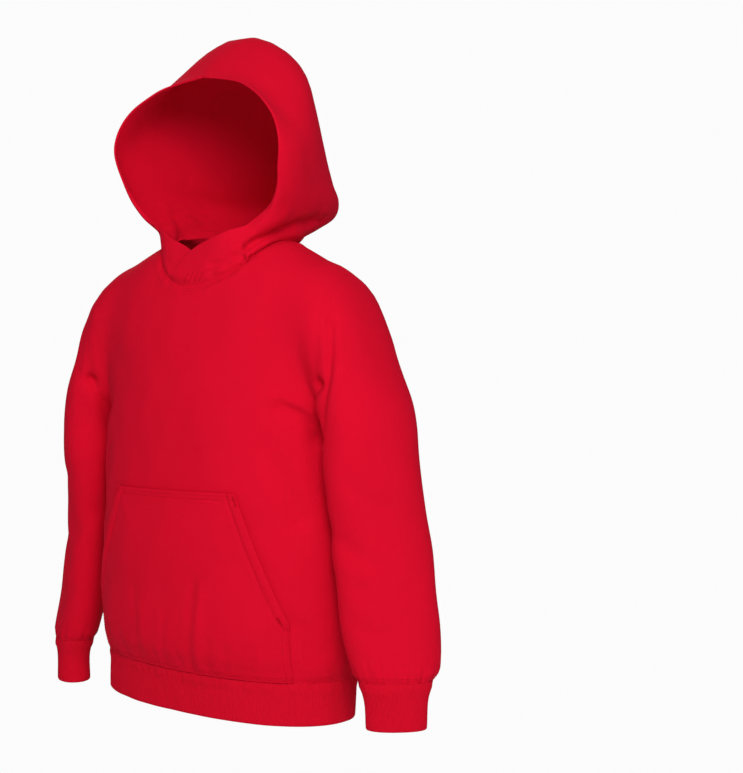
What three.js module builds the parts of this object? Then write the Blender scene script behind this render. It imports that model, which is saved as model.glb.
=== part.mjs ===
import * as THREE from 'three';

// A child's pullover hoodie with its hood up, filled out as if it were worn. Millimetres.
// +X is the wearer's left, -Y the front, +Z up. The origin is the middle of the neck,
// level with the inner ends of the shoulder seams.

// Cloth
const wall = 2.4;
const seamGap = 0.3;
const bandWall = 3;

// Heights
const hemBottom = -498;
const hemSeam = -454;
const underarm = -195;
const armholeMiddle = -120;
const bicep = -238;
const hemTilt = 0.045;
const tiltTop = -250;
const cuffSeam = -452;
const cuffBottom = -500;

// Neckline and armhole
const neckLeft = { halfWidth: 80, squareness: 0.75 };
const neckRight = { halfWidth: 67, squareness: 1.15 };
const frontNeckLean = 0.8;
const backNeckLean = 0.4;
const neckGapShare = 0.0034;
const armholeWidths = [
  { rise: 0, x: 152 },
  { rise: 0.25, x: 156 },
  { rise: 0.6, x: 162 },
  { rise: 1, x: 163 },
];

// Torso sections: half width, and depth in front of and behind the side seams
const torsoPower = 2.2;
const torsoRows = [
  { z: -498, halfWidth: 155, front: 91, back: 82 },
  { z: -454, halfWidth: 156, front: 94, back: 84 },
  { z: -430, halfWidth: 160, front: 101, back: 88 },
  { z: -370, halfWidth: 161, front: 104, back: 90 },
  { z: -300, halfWidth: 159, front: 103, back: 90 },
  { z: -240, halfWidth: 156, front: 101, back: 90 },
  { z: -195, halfWidth: 153, front: 99, back: 90 },
  { z: -140, halfWidth: 151, front: 94, back: 90 },
  { z: -90, halfWidth: 150, front: 86, back: 87 },
  { z: -45, halfWidth: 150, front: 77, back: 80 },
  { z: 20, halfWidth: 150, front: 70, back: 70 },
];

// Sleeve sections: axis, half of the broad and thin way, and the turn of the broad way from +X
const sleevePower = 2.15;
const sleeveRows = [
  { z: -500, x: 229, y: -15, broad: 31, thin: 19, turn: 0.7 },
  { z: -472, x: 229, y: -15, broad: 32, thin: 19, turn: 0.7 },
  { z: -454, x: 228, y: -14, broad: 38, thin: 22, turn: 0.7 },
  { z: -438, x: 226, y: -11, broad: 46, thin: 25, turn: 0.7 },
  { z: -395, x: 217, y: -8, broad: 51, thin: 27, turn: 0.73 },
  { z: -300, x: 204, y: -7, broad: 52, thin: 28, turn: 0.87 },
  { z: -240, x: 196, y: -11, broad: 52, thin: 32, turn: 1.02 },
  { z: -195, x: 191, y: -8, broad: 53, thin: 35.5, turn: 1.2 },
  { z: -140, x: 176, y: -5, broad: 56, thin: 41, turn: 1.35 },
  { z: -90, x: 161, y: -2, broad: 57, thin: 45, turn: 1.57 },
  { z: -40, x: 146, y: 0, broad: 56, thin: 46, turn: 1.57 },
];

// Shoulder ridge: height along the width, and how it rounds over to front and back
const ridgeRows = [
  { x: 0, z: 10 },
  { x: 72, z: 5 },
  { x: 110, z: -8 },
  { x: 150, z: -25 },
  { x: 180, z: -48 },
  { x: 205, z: -84 },
  { x: 230, z: -140 },
  { x: 260, z: -210 },
  { x: 300, z: -300 },
];
const ridgeRound = 95;

// How softly the forms run together: the roof of the shoulders, the armpits, the neck opening
const shoulderSoftness = 34;
const shoulderRise = 80;
const armpitSoftness = { low: 1.5, high: 34, from: -200, to: -70 };
const neckColumn = { halfWidth: 61, front: 60, back: 50, softness: 12 };

// Folds: troughs pressed into the cloth from one point to another, alike on both sides.
// Round the armholes, at the waist, on the sleeves and round the base of the hood.
const armholeFolds = [
  { fromX: 164, fromY: -42, fromZ: -88, toX: 164, toY: -46, toZ: -150, width: 11, depth: 5 },
  { fromX: 164, fromY: -46, fromZ: -150, toX: 151, toY: -28, toZ: -200, width: 10, depth: 6 },
  { fromX: 148, fromY: -32, fromZ: -200, toX: 120, toY: -64, toZ: -172, width: 9, depth: 3.5 },
  { fromX: 160, fromY: 44, fromZ: -110, toX: 151, toY: 26, toZ: -198, width: 13, depth: 5 },
];
const waistFolds = [
  { fromX: 122, fromY: -68, fromZ: -240, toX: 138, toY: -58, toZ: -290, width: 12, depth: 3 },
  { fromX: 137, fromY: -60, fromZ: -395, toX: 150, toY: -38, toZ: -422, width: 10, depth: 2.5 },
];
const sleeveFolds = [
  { fromX: 172, fromY: -38, fromZ: -300, toX: 196, toY: -44, toZ: -322, width: 12, depth: 2.5 },
  { fromX: 182, fromY: -34, fromZ: -345, toX: 206, toY: -42, toZ: -356, width: 11, depth: 2 },
];
const hoodFolds = [
  { fromX: 38, fromY: -68, fromZ: -31, toX: 64, toY: -46, toZ: -6, width: 9, depth: 5 },
  { fromX: 64, fromY: -46, fromZ: -6, toX: 80, toY: -18, toZ: 11, width: 9, depth: 7 },
  { fromX: 80, fromY: -18, fromZ: 11, toX: 92, toY: 32, toZ: 22, width: 11, depth: 5 },
];

// Rays from inside a form find its surface
const rayStep = 3;
const rayEnd = 600;
const rayHalvings = 24;
const probe = 0.5;
const tiny = 1e-6;

function clamp(value, low, high) {
  return Math.min(Math.max(value, low), high);
}

function ease(value) {
  const share = clamp(value, 0, 1);
  return share * share * (3 - 2 * share);
}

// A smooth curve through a table's rows, which go up in the column named key
function rowAt(rows, key, value) {
  const last = rows.length - 1;
  let index = 0;
  while (index < last - 1 && value > rows[index + 1][key]) index += 1;
  const low = rows[index];
  const high = rows[index + 1];
  const before = rows[Math.max(index - 1, 0)];
  const after = rows[Math.min(index + 2, last)];
  const span = high[key] - low[key];
  const t = clamp((value - low[key]) / span, 0, 1);
  const result = {};
  for (const name of Object.keys(low)) {
    const startSlope = (high[name] - before[name]) / (high[key] - before[key]) * span;
    const endSlope = (after[name] - low[name]) / (after[key] - low[key]) * span;
    result[name] = (2 * t ** 3 - 3 * t ** 2 + 1) * low[name]
      + (t ** 3 - 2 * t ** 2 + t) * startSlope
      + (3 * t ** 2 - 2 * t ** 3) * high[name]
      + (t ** 3 - t ** 2) * endSlope;
  }
  return result;
}

// The hem hangs a little lower on the wearer's left
function tilted(x, y, z) {
  return [x, y, z - hemTilt * x * ease((tiltTop - z) / (tiltTop - hemSeam))];
}

const softMin = (a, b, softness) => (a + b - Math.hypot(a - b, softness)) / 2;
const softMax = (a, b, softness) => (a + b + Math.hypot(a - b, softness)) / 2;

// Distance outside an oval with the given half sizes, negative inside
function ovalField(across, along, halfAcross, halfAlong, power) {
  const total = Math.abs(across / halfAcross) ** power + Math.abs(along / halfAlong) ** power;
  const ratio = total ** (1 / power);
  return (ratio - 1) * Math.hypot(across, along) / Math.max(ratio, tiny);
}

// How far the folds press the cloth in at a place
function foldLift(folds, x, y, z) {
  let lift = 0;
  for (const fold of folds) {
    const run = [fold.toX - fold.fromX, fold.toY - fold.fromY, fold.toZ - fold.fromZ];
    const away = [Math.abs(x) - fold.fromX, y - fold.fromY, z - fold.fromZ];
    const dot = run[0] * away[0] + run[1] * away[1] + run[2] * away[2];
    const share = clamp(dot / (run[0] ** 2 + run[1] ** 2 + run[2] ** 2), 0, 1);
    const gap = Math.hypot(away[0] - run[0] * share, away[1] - run[1] * share, away[2] - run[2] * share);
    lift += fold.depth * Math.exp(-((gap / fold.width) ** 2));
  }
  return lift;
}

function torsoOval(x, y, z) {
  const row = rowAt(torsoRows, 'z', z);
  return ovalField(x, y, row.halfWidth, y < 0 ? row.front : row.back, torsoPower);
}

const torsoFolds = [...armholeFolds, ...waistFolds];
const torsoField = (x, y, z) => torsoOval(x, y, z) + foldLift(torsoFolds, x, y, z);

function sleeveField(x, y, z) {
  const row = rowAt(sleeveRows, 'z', z);
  const dx = Math.abs(x) - row.x;
  const dy = y - row.y;
  const across = dx * Math.cos(row.turn) + dy * Math.sin(row.turn);
  const along = dy * Math.cos(row.turn) - dx * Math.sin(row.turn);
  return ovalField(across, along, row.broad, row.thin, sleevePower);
}

function roofField(x, y, z) {
  const reach = Math.abs(x);
  const height = rowAt(ridgeRows, 'x', reach).z;
  const slope = rowAt(ridgeRows, 'x', reach + 1).z - height;
  return (z - height + y * y / (2 * ridgeRound)) / Math.hypot(1, slope);
}

// The garment above the underarm: torso and sleeves grown together under the shoulders
function shoulderField(x, y, z, torso) {
  const softness = armpitSoftness.low + (armpitSoftness.high - armpitSoftness.low)
    * ease((z - armpitSoftness.from) / (armpitSoftness.to - armpitSoftness.from));
  const joined = softMin(torso, sleeveField(x, y, z), softness);
  const rounding = ease((z - underarm) / shoulderRise);
  const roofed = softMax(joined, roofField(x, y, z), shoulderSoftness * rounding);
  const depth = y < 0 ? neckColumn.front : neckColumn.back;
  const opening = ovalField(x, y, neckColumn.halfWidth, depth, 2);
  const opened = softMin(roofed, opening, neckColumn.softness * rounding);
  return opened + foldLift(armholeFolds, x, y, z);
}

const torsoForm = (x, y, z) => shoulderField(x, y, z, torsoOval(x, y, z));

function sleeveForm(x, y, z) {
  const body = Math.max(torsoOval(x, y, z), underarm - z);
  return shoulderField(x, y, z, body) + foldLift(sleeveFolds, x, y, z);
}

// Where a ray from inside a form first leaves it
function leave(form, from, way) {
  const at = (distance) => from.map((value, axis) => value + way[axis] * distance);
  let far = rayStep;
  while (form(...at(far)) < 0 && far < rayEnd) far += rayStep;
  let near = far - rayStep;
  for (let turn = 0; turn < rayHalvings; turn += 1) {
    const middle = (near + far) / 2;
    if (form(...at(middle)) < 0) near = middle;
    else far = middle;
  }
  return at(near);
}

const neckSide = (angle) => (angle < 0 ? neckRight : neckLeft);

// How far from upright the neckline is seen from inside, at an angle round the neck
function neckLean(angle) {
  const full = Math.cos(angle) < 0 ? backNeckLean : frontNeckLean;
  return full * Math.abs(Math.cos(angle)) ** neckSide(angle).squareness;
}

// A point on the neckline, from the front middle at 0 to the back at pi by the wearer's left,
// and at -pi by the right
function neckPoint(angle, scale) {
  const lean = scale * neckLean(angle);
  const way = [0, Math.cos(angle) < 0 ? Math.sin(lean) : -Math.sin(lean), Math.cos(lean)];
  const x = scale * neckSide(angle).halfWidth * Math.sin(angle);
  return leave(torsoForm, [x, 0, armholeMiddle], way);
}

// The way out of the garment at the neckline, which the walls either side of that seam share
function neckNormal(angle) {
  const at = neckPoint(angle, 1);
  return [0, 1, 2].map((axis) => {
    const ahead = at.map((value, index) => value + (index === axis ? probe : 0));
    const behind = at.map((value, index) => value - (index === axis ? probe : 0));
    return torsoForm(...ahead) - torsoForm(...behind);
  });
}

// A closed solid from a skin of four-cornered faces: the skin, a copy moved inwards along the
// normals, and a strip along every open edge. pins gives the axes that a point's normal must
// not follow, so that walls either side of a seam stay parallel to it.
function clothSolid(skin, inside, thickness) {
  const { points, pins } = skin;
  let { faces } = skin;
  const normals = points.map(() => new THREE.Vector3());
  const vectors = points.map((point) => new THREE.Vector3(...point));
  for (const face of faces) {
    const [a, b, c, d] = face.map((index) => vectors[index]);
    const cross = new THREE.Vector3().subVectors(c, a).cross(new THREE.Vector3().subVectors(d, b));
    for (const index of face) normals[index].add(cross);
  }
  let outward = 0;
  vectors.forEach((vector, index) => {
    outward += normals[index].dot(new THREE.Vector3().subVectors(vector, inside(vector)));
  });
  if (outward < 0) {
    faces = faces.map((face) => [...face].reverse());
    normals.forEach((normal) => normal.negate());
  }
  normals.forEach((normal, index) => {
    if (skin.fixed?.[index]) normal.set(...skin.fixed[index]);
    for (const axis of pins[index] ?? '') normal[axis] = 0;
    normal.normalize();
  });
  const inner = vectors.map((vector, index) => vector.clone().addScaledVector(normals[index], -thickness));
  const count = points.length;
  const triangles = [];
  const open = new Map();
  for (const face of faces) {
    const [a, b, c, d] = face;
    const even = vectors[a].distanceTo(vectors[c]) < vectors[b].distanceTo(vectors[d]);
    for (const [first, second, third] of even ? [[a, b, c], [a, c, d]] : [[a, b, d], [b, c, d]]) {
      triangles.push(first, second, third, first + count, third + count, second + count);
    }
    face.forEach((from, corner) => {
      const to = face[(corner + 1) % face.length];
      const back = `${to} ${from}`;
      if (open.has(back)) open.delete(back);
      else open.set(`${from} ${to}`, [from, to]);
    });
  }
  for (const [from, to] of open.values()) {
    triangles.push(to, from, from + count, to, from + count, to + count);
  }
  const geometry = new THREE.BufferGeometry();
  const places = [...vectors, ...inner].flatMap((vector) => vector.toArray());
  geometry.setAttribute('position', new THREE.Float32BufferAttribute(places, 3));
  geometry.setIndex(triangles);
  geometry.computeVertexNormals();
  return geometry;
}

// A skin from rows of points, joined at the ends where it goes all the way round
function gridSkin(rows, round, pinAt) {
  const width = rows[0].length;
  const faces = [];
  for (let row = 0; row + 1 < rows.length; row += 1) {
    for (let column = 0; column < (round ? width : width - 1); column += 1) {
      const next = (column + 1) % width;
      const [here, below] = [row * width, (row + 1) * width];
      faces.push([here + column, here + next, below + next, below + column]);
    }
  }
  const pins = rows.flatMap((row, rowIndex) => row.map((point, column) => pinAt(rowIndex, column)));
  return { points: rows.flat(), faces, pins };
}

// Columns across the front or back, from the left side seam to the right one. The outer ones
// end at the underarm; the others go on up to the shoulder seam or the neckline.
const underarmColumns = 2;
const shoulderColumns = 4;
const neckColumns = 16;
const lowerRows = 10;
const upperRows = 9;
const neckTurn = { across: 2, up: 0.8 };

function bodyColumns(face) {
  const edge = armholeWidths[0].x - seamGap / 2;
  const edgePoint = leave(torsoField, [edge, 0, underarm], [0, face, 0]);
  const edgeAngle = Math.atan2(Math.abs(edgePoint[1]), edgePoint[0]);
  const half = [];
  for (let index = 0; index < underarmColumns; index += 1) {
    const seamAngle = seamGap / 2 / torsoRows[0].halfWidth;
    half.push({ angle: seamAngle + (edgeAngle - seamAngle) * index / underarmColumns });
  }
  const upper = shoulderColumns + neckColumns / 2;
  for (let index = 0; index <= upper; index += 1) {
    const share = Math.min(index / shoulderColumns, 1);
    const neck = Math.PI / 2 * Math.min((upper - index) / (neckColumns / 2), 1);
    half.push({ share, neck, foot: 1 - index / upper, turn: share ** 2 * Math.sin(neck) });
  }
  const middle = half.pop();
  const mirrored = half.map((column) => ({ ...column, mirror: true })).reverse();
  return [...half, middle, ...mirrored];
}

// A body column's place across the width at a share of its rise above the underarm: even at the
// foot, and at the top on the neckline or the shoulder seam. Columns beside the neck reach the
// neckline from the side.
function columnX(column, rise) {
  const { halfWidth } = column.mirror ? neckRight : neckLeft;
  const [first, edge, last] = [0, rise, 1].map((at) => rowAt(armholeWidths, 'rise', at).x - seamGap / 2);
  const neckX = halfWidth * (1 + neckGapShare) * Math.sin(column.neck);
  const foot = first * column.foot;
  const top = last + (neckX - last) * column.share;
  const part = rise ** (1 + neckTurn.across * column.turn);
  const bulge = edge - first - (last - first) * part;
  const x = foot + (top - foot) * part + bulge * (1 - column.share);
  return column.mirror ? -x : x;
}

function bodyUpperPoint(column, rise, face) {
  const seamLean = seamGap / 2 / -armholeMiddle;
  const around = face < 0 ? column.neck : Math.PI - column.neck;
  const lean = Math.max((1 + neckGapShare) * neckLean(column.mirror ? -around : around), seamLean);
  const part = rise + neckTurn.up * column.turn * rise * (1 - rise);
  const angle = column.low + (Math.PI / 2 - lean - column.low) * part;
  const from = [columnX(column, rise), 0, armholeMiddle];
  return leave(torsoForm, from, [0, face * Math.cos(angle), Math.sin(angle)]);
}

function bodySkin(face) {
  const columns = bodyColumns(face);
  const points = [];
  const pins = [];
  const fixed = [];
  const faces = [];
  const lattice = [];
  const add = (point, pin) => {
    points.push(point);
    pins.push(pin);
    return points.length - 1;
  };
  columns.forEach((column, index) => {
    const outer = index === 0 || index === columns.length - 1;
    const short = column.angle !== undefined;
    const armEdge = !short && column.share === 0;
    if (!short) {
      const start = leave(torsoField, [Math.abs(columnX(column, 0)), 0, underarm], [0, face, 0]);
      column.angle = Math.atan2(Math.abs(start[1]), start[0]);
      column.low = Math.atan2(underarm - armholeMiddle, Math.abs(start[1]));
    }
    const side = column.mirror ? -1 : 1;
    const line = [];
    for (let row = 0; row <= lowerRows; row += 1) {
      const z = hemSeam + seamGap / 2 + (underarm - hemSeam - seamGap) * row / lowerRows;
      const way = [side * Math.cos(column.angle), face * Math.sin(column.angle), 0];
      const point = tilted(...leave(torsoField, [0, 0, z], way));
      const top = row === lowerRows && (short || armEdge);
      const pin = (outer ? 'y' : '') + (row === 0 || top ? 'z' : '') + (armEdge && top ? 'x' : '');
      line.push(add(point, pin));
    }
    if (!short) {
      for (let row = 1; row <= upperRows; row += 1) {
        const point = bodyUpperPoint(column, row / upperRows, face);
        const shoulder = row === upperRows && column.neck >= Math.PI / 2;
        line.push(add(point, (armEdge ? 'x' : '') + (shoulder ? 'y' : '')));
      }
      if (column.share === 1) {
        const around = face < 0 ? column.neck : Math.PI - column.neck;
        fixed[line[line.length - 1]] = neckNormal(around * side);
      }
    }
    lattice.push(line);
  });
  for (let column = 0; column + 1 < lattice.length; column += 1) {
    const here = lattice[column];
    const next = lattice[column + 1];
    for (let row = 0; row + 1 < Math.min(here.length, next.length); row += 1) {
      faces.push([here[row], next[row], next[row + 1], here[row + 1]]);
    }
  }
  return { points, faces, pins, fixed, lattice };
}

// The armhole's edge on the left, from the side seam up the front and down the back
function armholeLoop(front, back) {
  const edgeOf = (skin) => {
    const line = [];
    for (let column = 0; column < underarmColumns; column += 1) {
      line.push(skin.points[skin.lattice[column][lowerRows]]);
    }
    const edge = skin.lattice[underarmColumns];
    for (let row = lowerRows; row < edge.length; row += 1) line.push(skin.points[edge[row]]);
    return line;
  };
  const up = edgeOf(front);
  const down = edgeOf(back);
  const join = up[up.length - 1].map((value, axis) => (value + down[down.length - 1][axis]) / 2);
  const start = up[0].map((value, axis) => (value + down[0][axis]) / 2);
  return [start, ...up.slice(1, -1), join, ...down.slice(1, -1).reverse()];
}

const capRings = 8;
const armRings = 9;
const capStart = { y: -3, z: armholeMiddle };
const capInner = 162;

// A sleeve in rings: from the armhole round the cap to the bicep, then down to the cuff seam
function sleeveSkin(front, back, side) {
  const loop = armholeLoop(front, back);
  const hingeX = armholeWidths[0].x;
  const low = underarmColumns;
  const isLow = (column) => column < low || column > loop.length - low;
  const rows = [loop.map(([x, y, z], column) => [x + seamGap * (isLow(column) ? 2 : 1), y, z])];
  // Angles round the armhole from the underarm by way of the front, which even out down the cap
  const fromLow = loop.map(([, y, z], index) => {
    const angle = Math.atan2(capStart.y - y, capStart.z - z);
    return index > 0 && angle < 0 ? angle + 2 * Math.PI : angle;
  });
  const anglesAt = (share) => fromLow.map((angle, index) => {
    const even = 2 * Math.PI * index / loop.length;
    return -Math.PI / 2 - angle - (even - angle) * share;
  });
  const endRow = rowAt(sleeveRows, 'z', bicep);
  for (let ring = 1; ring <= capRings; ring += 1) {
    const share = ring / capRings;
    const turn = Math.PI / 2 * share;
    const reach = (capStart.z - underarm) + (endRow.x - capInner - (capStart.z - underarm)) * share;
    const outX = Math.sin(turn);
    const outZ = Math.cos(turn);
    const from = [
      hingeX + (capInner - hingeX) * share + outX * reach,
      capStart.y + (endRow.y - capStart.y) * share,
      underarm + (bicep - underarm) * share + outZ * reach,
    ];
    rows.push(anglesAt(share).map((angle, index) => {
      const along = Math.sin(angle);
      const aside = (loop[index][0] - hingeX) * (1 - share) ** 2;
      const way = [along * outX, Math.cos(angle), along * outZ];
      return leave(sleeveForm, [from[0] + aside, from[1], from[2]], way);
    }));
  }
  for (let ring = 1; ring <= armRings; ring += 1) {
    const z = bicep + (cuffSeam + seamGap / 2 - bicep) * ring / armRings;
    const row = rowAt(sleeveRows, 'z', z);
    rows.push(anglesAt(1).map((angle) => {
      const from = [row.x, row.y, z];
      return leave(sleeveForm, from, [Math.sin(angle), Math.cos(angle), 0]);
    }));
  }
  const pinAt = (row, column) => {
    if (row === rows.length - 1) return 'z';
    if (row > 0) return '';
    if (column === low || column === loop.length - low) return 'xz';
    return isLow(column) ? 'z' : 'x';
  };
  return gridSkin(rows.map((row) => row.map(([x, y, z]) => [side * x, y, z])), true, pinAt);
}

const cuffColumns = 26;
const cuffRings = 3;
const hemColumns = 56;
const hemRings = 2;

// A band all the way round, in level rings from its seam down to its open end
function bandSkin(rowsTable, form, centreOf, top, bottom, columns, rings) {
  const rows = [];
  for (let ring = 0; ring <= rings; ring += 1) {
    const z = top + (bottom - top) * ring / rings;
    const centre = centreOf(rowAt(rowsTable, 'z', z));
    const line = [];
    for (let column = 0; column < columns; column += 1) {
      const angle = 2 * Math.PI * column / columns;
      line.push(leave(form, [centre.x, centre.y, z], [Math.cos(angle), Math.sin(angle), 0]));
    }
    rows.push(line);
  }
  return gridSkin(rows, true, () => 'z');
}

// The pocket: slanting open mouths at the sides, sewn along the top and into the hem seam
const pocketTop = -264;
const pocketTopHalfWidth = 80;
const mouthBottom = -392;
const pocketHalfWidth = 130;
const mouthGape = 2.2;
const gapeNarrowing = 6;
const pocketLift = 0.8;
const pocketColumns = 9;
const pocketLowRows = 3;
const pocketHighRows = 7;

// The hood: sections by height, a ridge along the top, the rim of the face opening
const hoodCentre = [0, -5, 60];
const hoodRows = [
  { z: -60, halfWidth: 62, middle: -5, front: 72, back: 45, power: 2.1 },
  { z: -26, halfWidth: 70, middle: -5, front: 66, back: 52, power: 2.1 },
  { z: 0, halfWidth: 82, middle: -6, front: 62, back: 76, power: 2.2 },
  { z: 14, halfWidth: 91, middle: -10, front: 56, back: 106, power: 2.4 },
  { z: 30, halfWidth: 100, middle: -22, front: 63, back: 147, power: 2.5 },
  { z: 48, halfWidth: 109, middle: -32, front: 80, back: 159, power: 2.5 },
  { z: 66, halfWidth: 114, middle: -38, front: 94, back: 151, power: 2.4 },
  { z: 90, halfWidth: 118, middle: -41, front: 105, back: 140, power: 2.3 },
  { z: 120, halfWidth: 119, middle: -42, front: 110, back: 130, power: 2.2 },
  { z: 155, halfWidth: 117, middle: -42, front: 110, back: 122, power: 2.1 },
  { z: 190, halfWidth: 112, middle: -40, front: 110, back: 118, power: 2.1 },
  { z: 230, halfWidth: 106, middle: -40, front: 110, back: 118, power: 2.1 },
];
const hoodRidge = [
  { y: -80, z: 165 },
  { y: -47, z: 180 },
  { y: -15, z: 208 },
  { y: 15, z: 228 },
  { y: 45, z: 228 },
  { y: 80, z: 212 },
  { y: 130, z: 170 },
];
const hoodRound = 92;
const hoodSoftness = 26;
const rimRows = [
  { share: 0, x: -27, y: -76, z: -46 },
  { share: 0.08, x: 0, y: -76, z: -27 },
  { share: 0.2, x: 41, y: -62, z: 2 },
  { share: 0.32, x: 68, y: -47, z: 18 },
  { share: 0.42, x: 93, y: -45, z: 38 },
  { share: 0.53, x: 110, y: -56, z: 70 },
  { share: 0.65, x: 116, y: -62, z: 106 },
  { share: 0.77, x: 99, y: -59, z: 139 },
  { share: 0.88, x: 58, y: -52, z: 165 },
  { share: 1, x: 0, y: -47, z: 177 },
];
const crossColumns = 2;
const fineColumns = 8;
const hoodRings = 14;
const rimHold = { from: 0.15, over: 0.2, power: 3 };
const crossFade = { from: 0.24, over: 0.2 };
const missSteps = 24;
const neckFade = 0.7;
const neckHold = 4;

function hoodForm(x, y, z) {
  const row = rowAt(hoodRows, 'z', z);
  const depth = y < row.middle ? row.front : row.back;
  const sides = ovalField(x, y - row.middle, row.halfWidth, depth, row.power);
  const ridge = rowAt(hoodRidge, 'y', y).z;
  const top = z - ridge + x * x / (2 * hoodRound);
  return softMax(sides, top, hoodSoftness);
}

const crossLift = wall + 0.6;

// How far the neckline lies outside the hood's form, by the angle round the neck, front at 0
const neckMisses = Array.from({ length: 2 * missSteps + 1 }, (unused, index) => {
  const angle = Math.PI * (index - missSteps) / missSteps;
  const point = new THREE.Vector3(...neckPoint(angle, 1 - neckGapShare));
  const way = point.sub(new THREE.Vector3(...hoodCentre));
  const reach = way.length();
  const onForm = new THREE.Vector3(...leave(hoodForm, hoodCentre, way.normalize().toArray()));
  const miss = reach - onForm.sub(new THREE.Vector3(...hoodCentre)).length();
  return { around: Math.atan2(way.x, -way.y), miss, climb: Math.asin(way.z) };
});

function hoodReach(way) {
  const onForm = new THREE.Vector3(...leave(hoodForm, hoodCentre, way.toArray()));
  const neck = rowAt(neckMisses, 'around', Math.atan2(way.x, -way.y));
  const fade = clamp(1 - (Math.asin(way.z) - neck.climb) / neckFade, 0, 1);
  const pressed = foldLift(hoodFolds, ...onForm.toArray()) * (1 - fade ** neckHold);
  const reach = onForm.sub(new THREE.Vector3(...hoodCentre)).length();
  return reach + neck.miss * fade * fade - pressed;
}

// Places round the neck in steps of a neck column, in half steps towards the centre seam
function hoodStops() {
  const stops = [];
  for (let stop = -crossColumns; stop < neckColumns - fineColumns; stop += 1) stops.push(stop);
  for (let stop = neckColumns - fineColumns; stop <= neckColumns; stop += 0.5) stops.push(stop);
  return stops;
}

// A half step is in the middle of its neighbours, on the straight edge of the body
function hoodNeck(stop, side) {
  const angles = [Math.floor(stop), Math.ceil(stop)].map((end) => side * Math.PI * end / neckColumns);
  const [from, to] = angles.map((angle) => new THREE.Vector3(...neckPoint(angle, 1 - neckGapShare)));
  const [first, second] = angles.map((angle) => new THREE.Vector3(...neckNormal(angle)).normalize());
  return { neck: from.lerp(to, 0.5), normal: first.lerp(second, 0.5).normalize() };
}

// One half of the hood, in rings from the neckline to the rim; side is 1 on the wearer's left
function hoodSkin(side) {
  const centre = new THREE.Vector3(...hoodCentre);
  const rows = Array.from({ length: hoodRings + 1 }, () => []);
  const fixed = [];
  const over = side > 0 ? crossLift : 0;
  const stops = hoodStops();
  stops.forEach((stop, column) => {
    const share = (stop + crossColumns) / (neckColumns + crossColumns);
    const last = column === stops.length - 1;
    const { neck, normal } = hoodNeck(stop, side);
    const rimAt = rowAt(rimRows, 'share', share);
    const rim = new THREE.Vector3(side * rimAt.x, rimAt.y, rimAt.z);
    if (last) neck.x = 0;
    fixed.push(normal.toArray());
    const neckWay = neck.clone().sub(centre).normalize();
    const rimWay = rim.clone().sub(centre);
    const rimReach = rimWay.length();
    rimWay.normalize();
    const rimMiss = (rimReach - hoodReach(rimWay)) * ease((share - rimHold.from) / rimHold.over);
    const between = neckWay.angleTo(rimWay);
    for (let ring = 0; ring <= hoodRings; ring += 1) {
      const part = ring / hoodRings;
      const way = neckWay.clone().multiplyScalar(Math.sin((1 - part) * between))
        .addScaledVector(rimWay, Math.sin(part * between)).normalize();
      const point = centre.clone().addScaledVector(way, hoodReach(way) + rimMiss * part ** rimHold.power);
      const lift = normal.clone().multiplyScalar(1 - part).add(new THREE.Vector3(0, -part, 0)).normalize();
      point.addScaledVector(lift, over * (1 - ease((share - crossFade.from) / crossFade.over)));
      point.x = last ? side * seamGap / 2 : point.x;
      rows[ring].push(point.toArray());
    }
  });
  const pinAt = (row, column) => (column === stops.length - 1 ? 'x' : '');
  return { ...gridSkin(rows, false, pinAt), fixed };
}

// The pocket lies on the front: its outer face at a share of its half width and a height
function pocketPoint(share, z) {
  const slant = clamp((z - mouthBottom) / (pocketTop - mouthBottom), 0, 1);
  const x = share * (pocketHalfWidth + (pocketTopHalfWidth - pocketHalfWidth) * slant);
  const onFront = new THREE.Vector3(...leave(torsoField, [x, 0, z], [0, -1, 0]));
  const normal = new THREE.Vector3(
    torsoField(onFront.x + probe, onFront.y, z) - torsoField(onFront.x - probe, onFront.y, z),
    torsoField(onFront.x, onFront.y + probe, z) - torsoField(onFront.x, onFront.y - probe, z),
    0,
  ).normalize();
  const gape = mouthGape * Math.sin(Math.PI * slant) * Math.abs(share) ** gapeNarrowing;
  onFront.addScaledVector(normal, pocketLift + wall + gape);
  return tilted(...onFront.toArray());
}

function pocketSkin() {
  const heights = [];
  for (let row = 0; row < pocketLowRows; row += 1) {
    heights.push(hemSeam + seamGap + (mouthBottom - hemSeam - seamGap) * row / pocketLowRows);
  }
  for (let row = 0; row <= pocketHighRows; row += 1) {
    heights.push(mouthBottom + (pocketTop - mouthBottom) * row / pocketHighRows);
  }
  const rows = heights.map((z) => {
    const line = [];
    for (let column = -pocketColumns; column <= pocketColumns; column += 1) {
      line.push(pocketPoint(column / pocketColumns, z));
    }
    return line;
  });
  return gridSkin(rows, false, (row) => (row === 0 ? 'z' : ''));
}

const frontSkin = bodySkin(-1);
const backSkin = bodySkin(1);
const hoodie = new THREE.Group();
const fleece = { color: 0xd30f2c, roughness: 0.95, metalness: 0 };

function addPiece(name, geometry) {
  const mesh = new THREE.Mesh(geometry, new THREE.MeshStandardMaterial(fleece));
  mesh.name = name;
  hoodie.add(mesh);
}

const torsoInside = (vector) => new THREE.Vector3(0, 0, Math.min(vector.z, underarm));
const sleeveInside = (side) => (vector) => {
  const row = rowAt(sleeveRows, 'z', Math.min(vector.z, capStart.z));
  return new THREE.Vector3(side * row.x, row.y, Math.min(vector.z, capStart.z));
};
const hoodInside = () => new THREE.Vector3(...hoodCentre);

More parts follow.
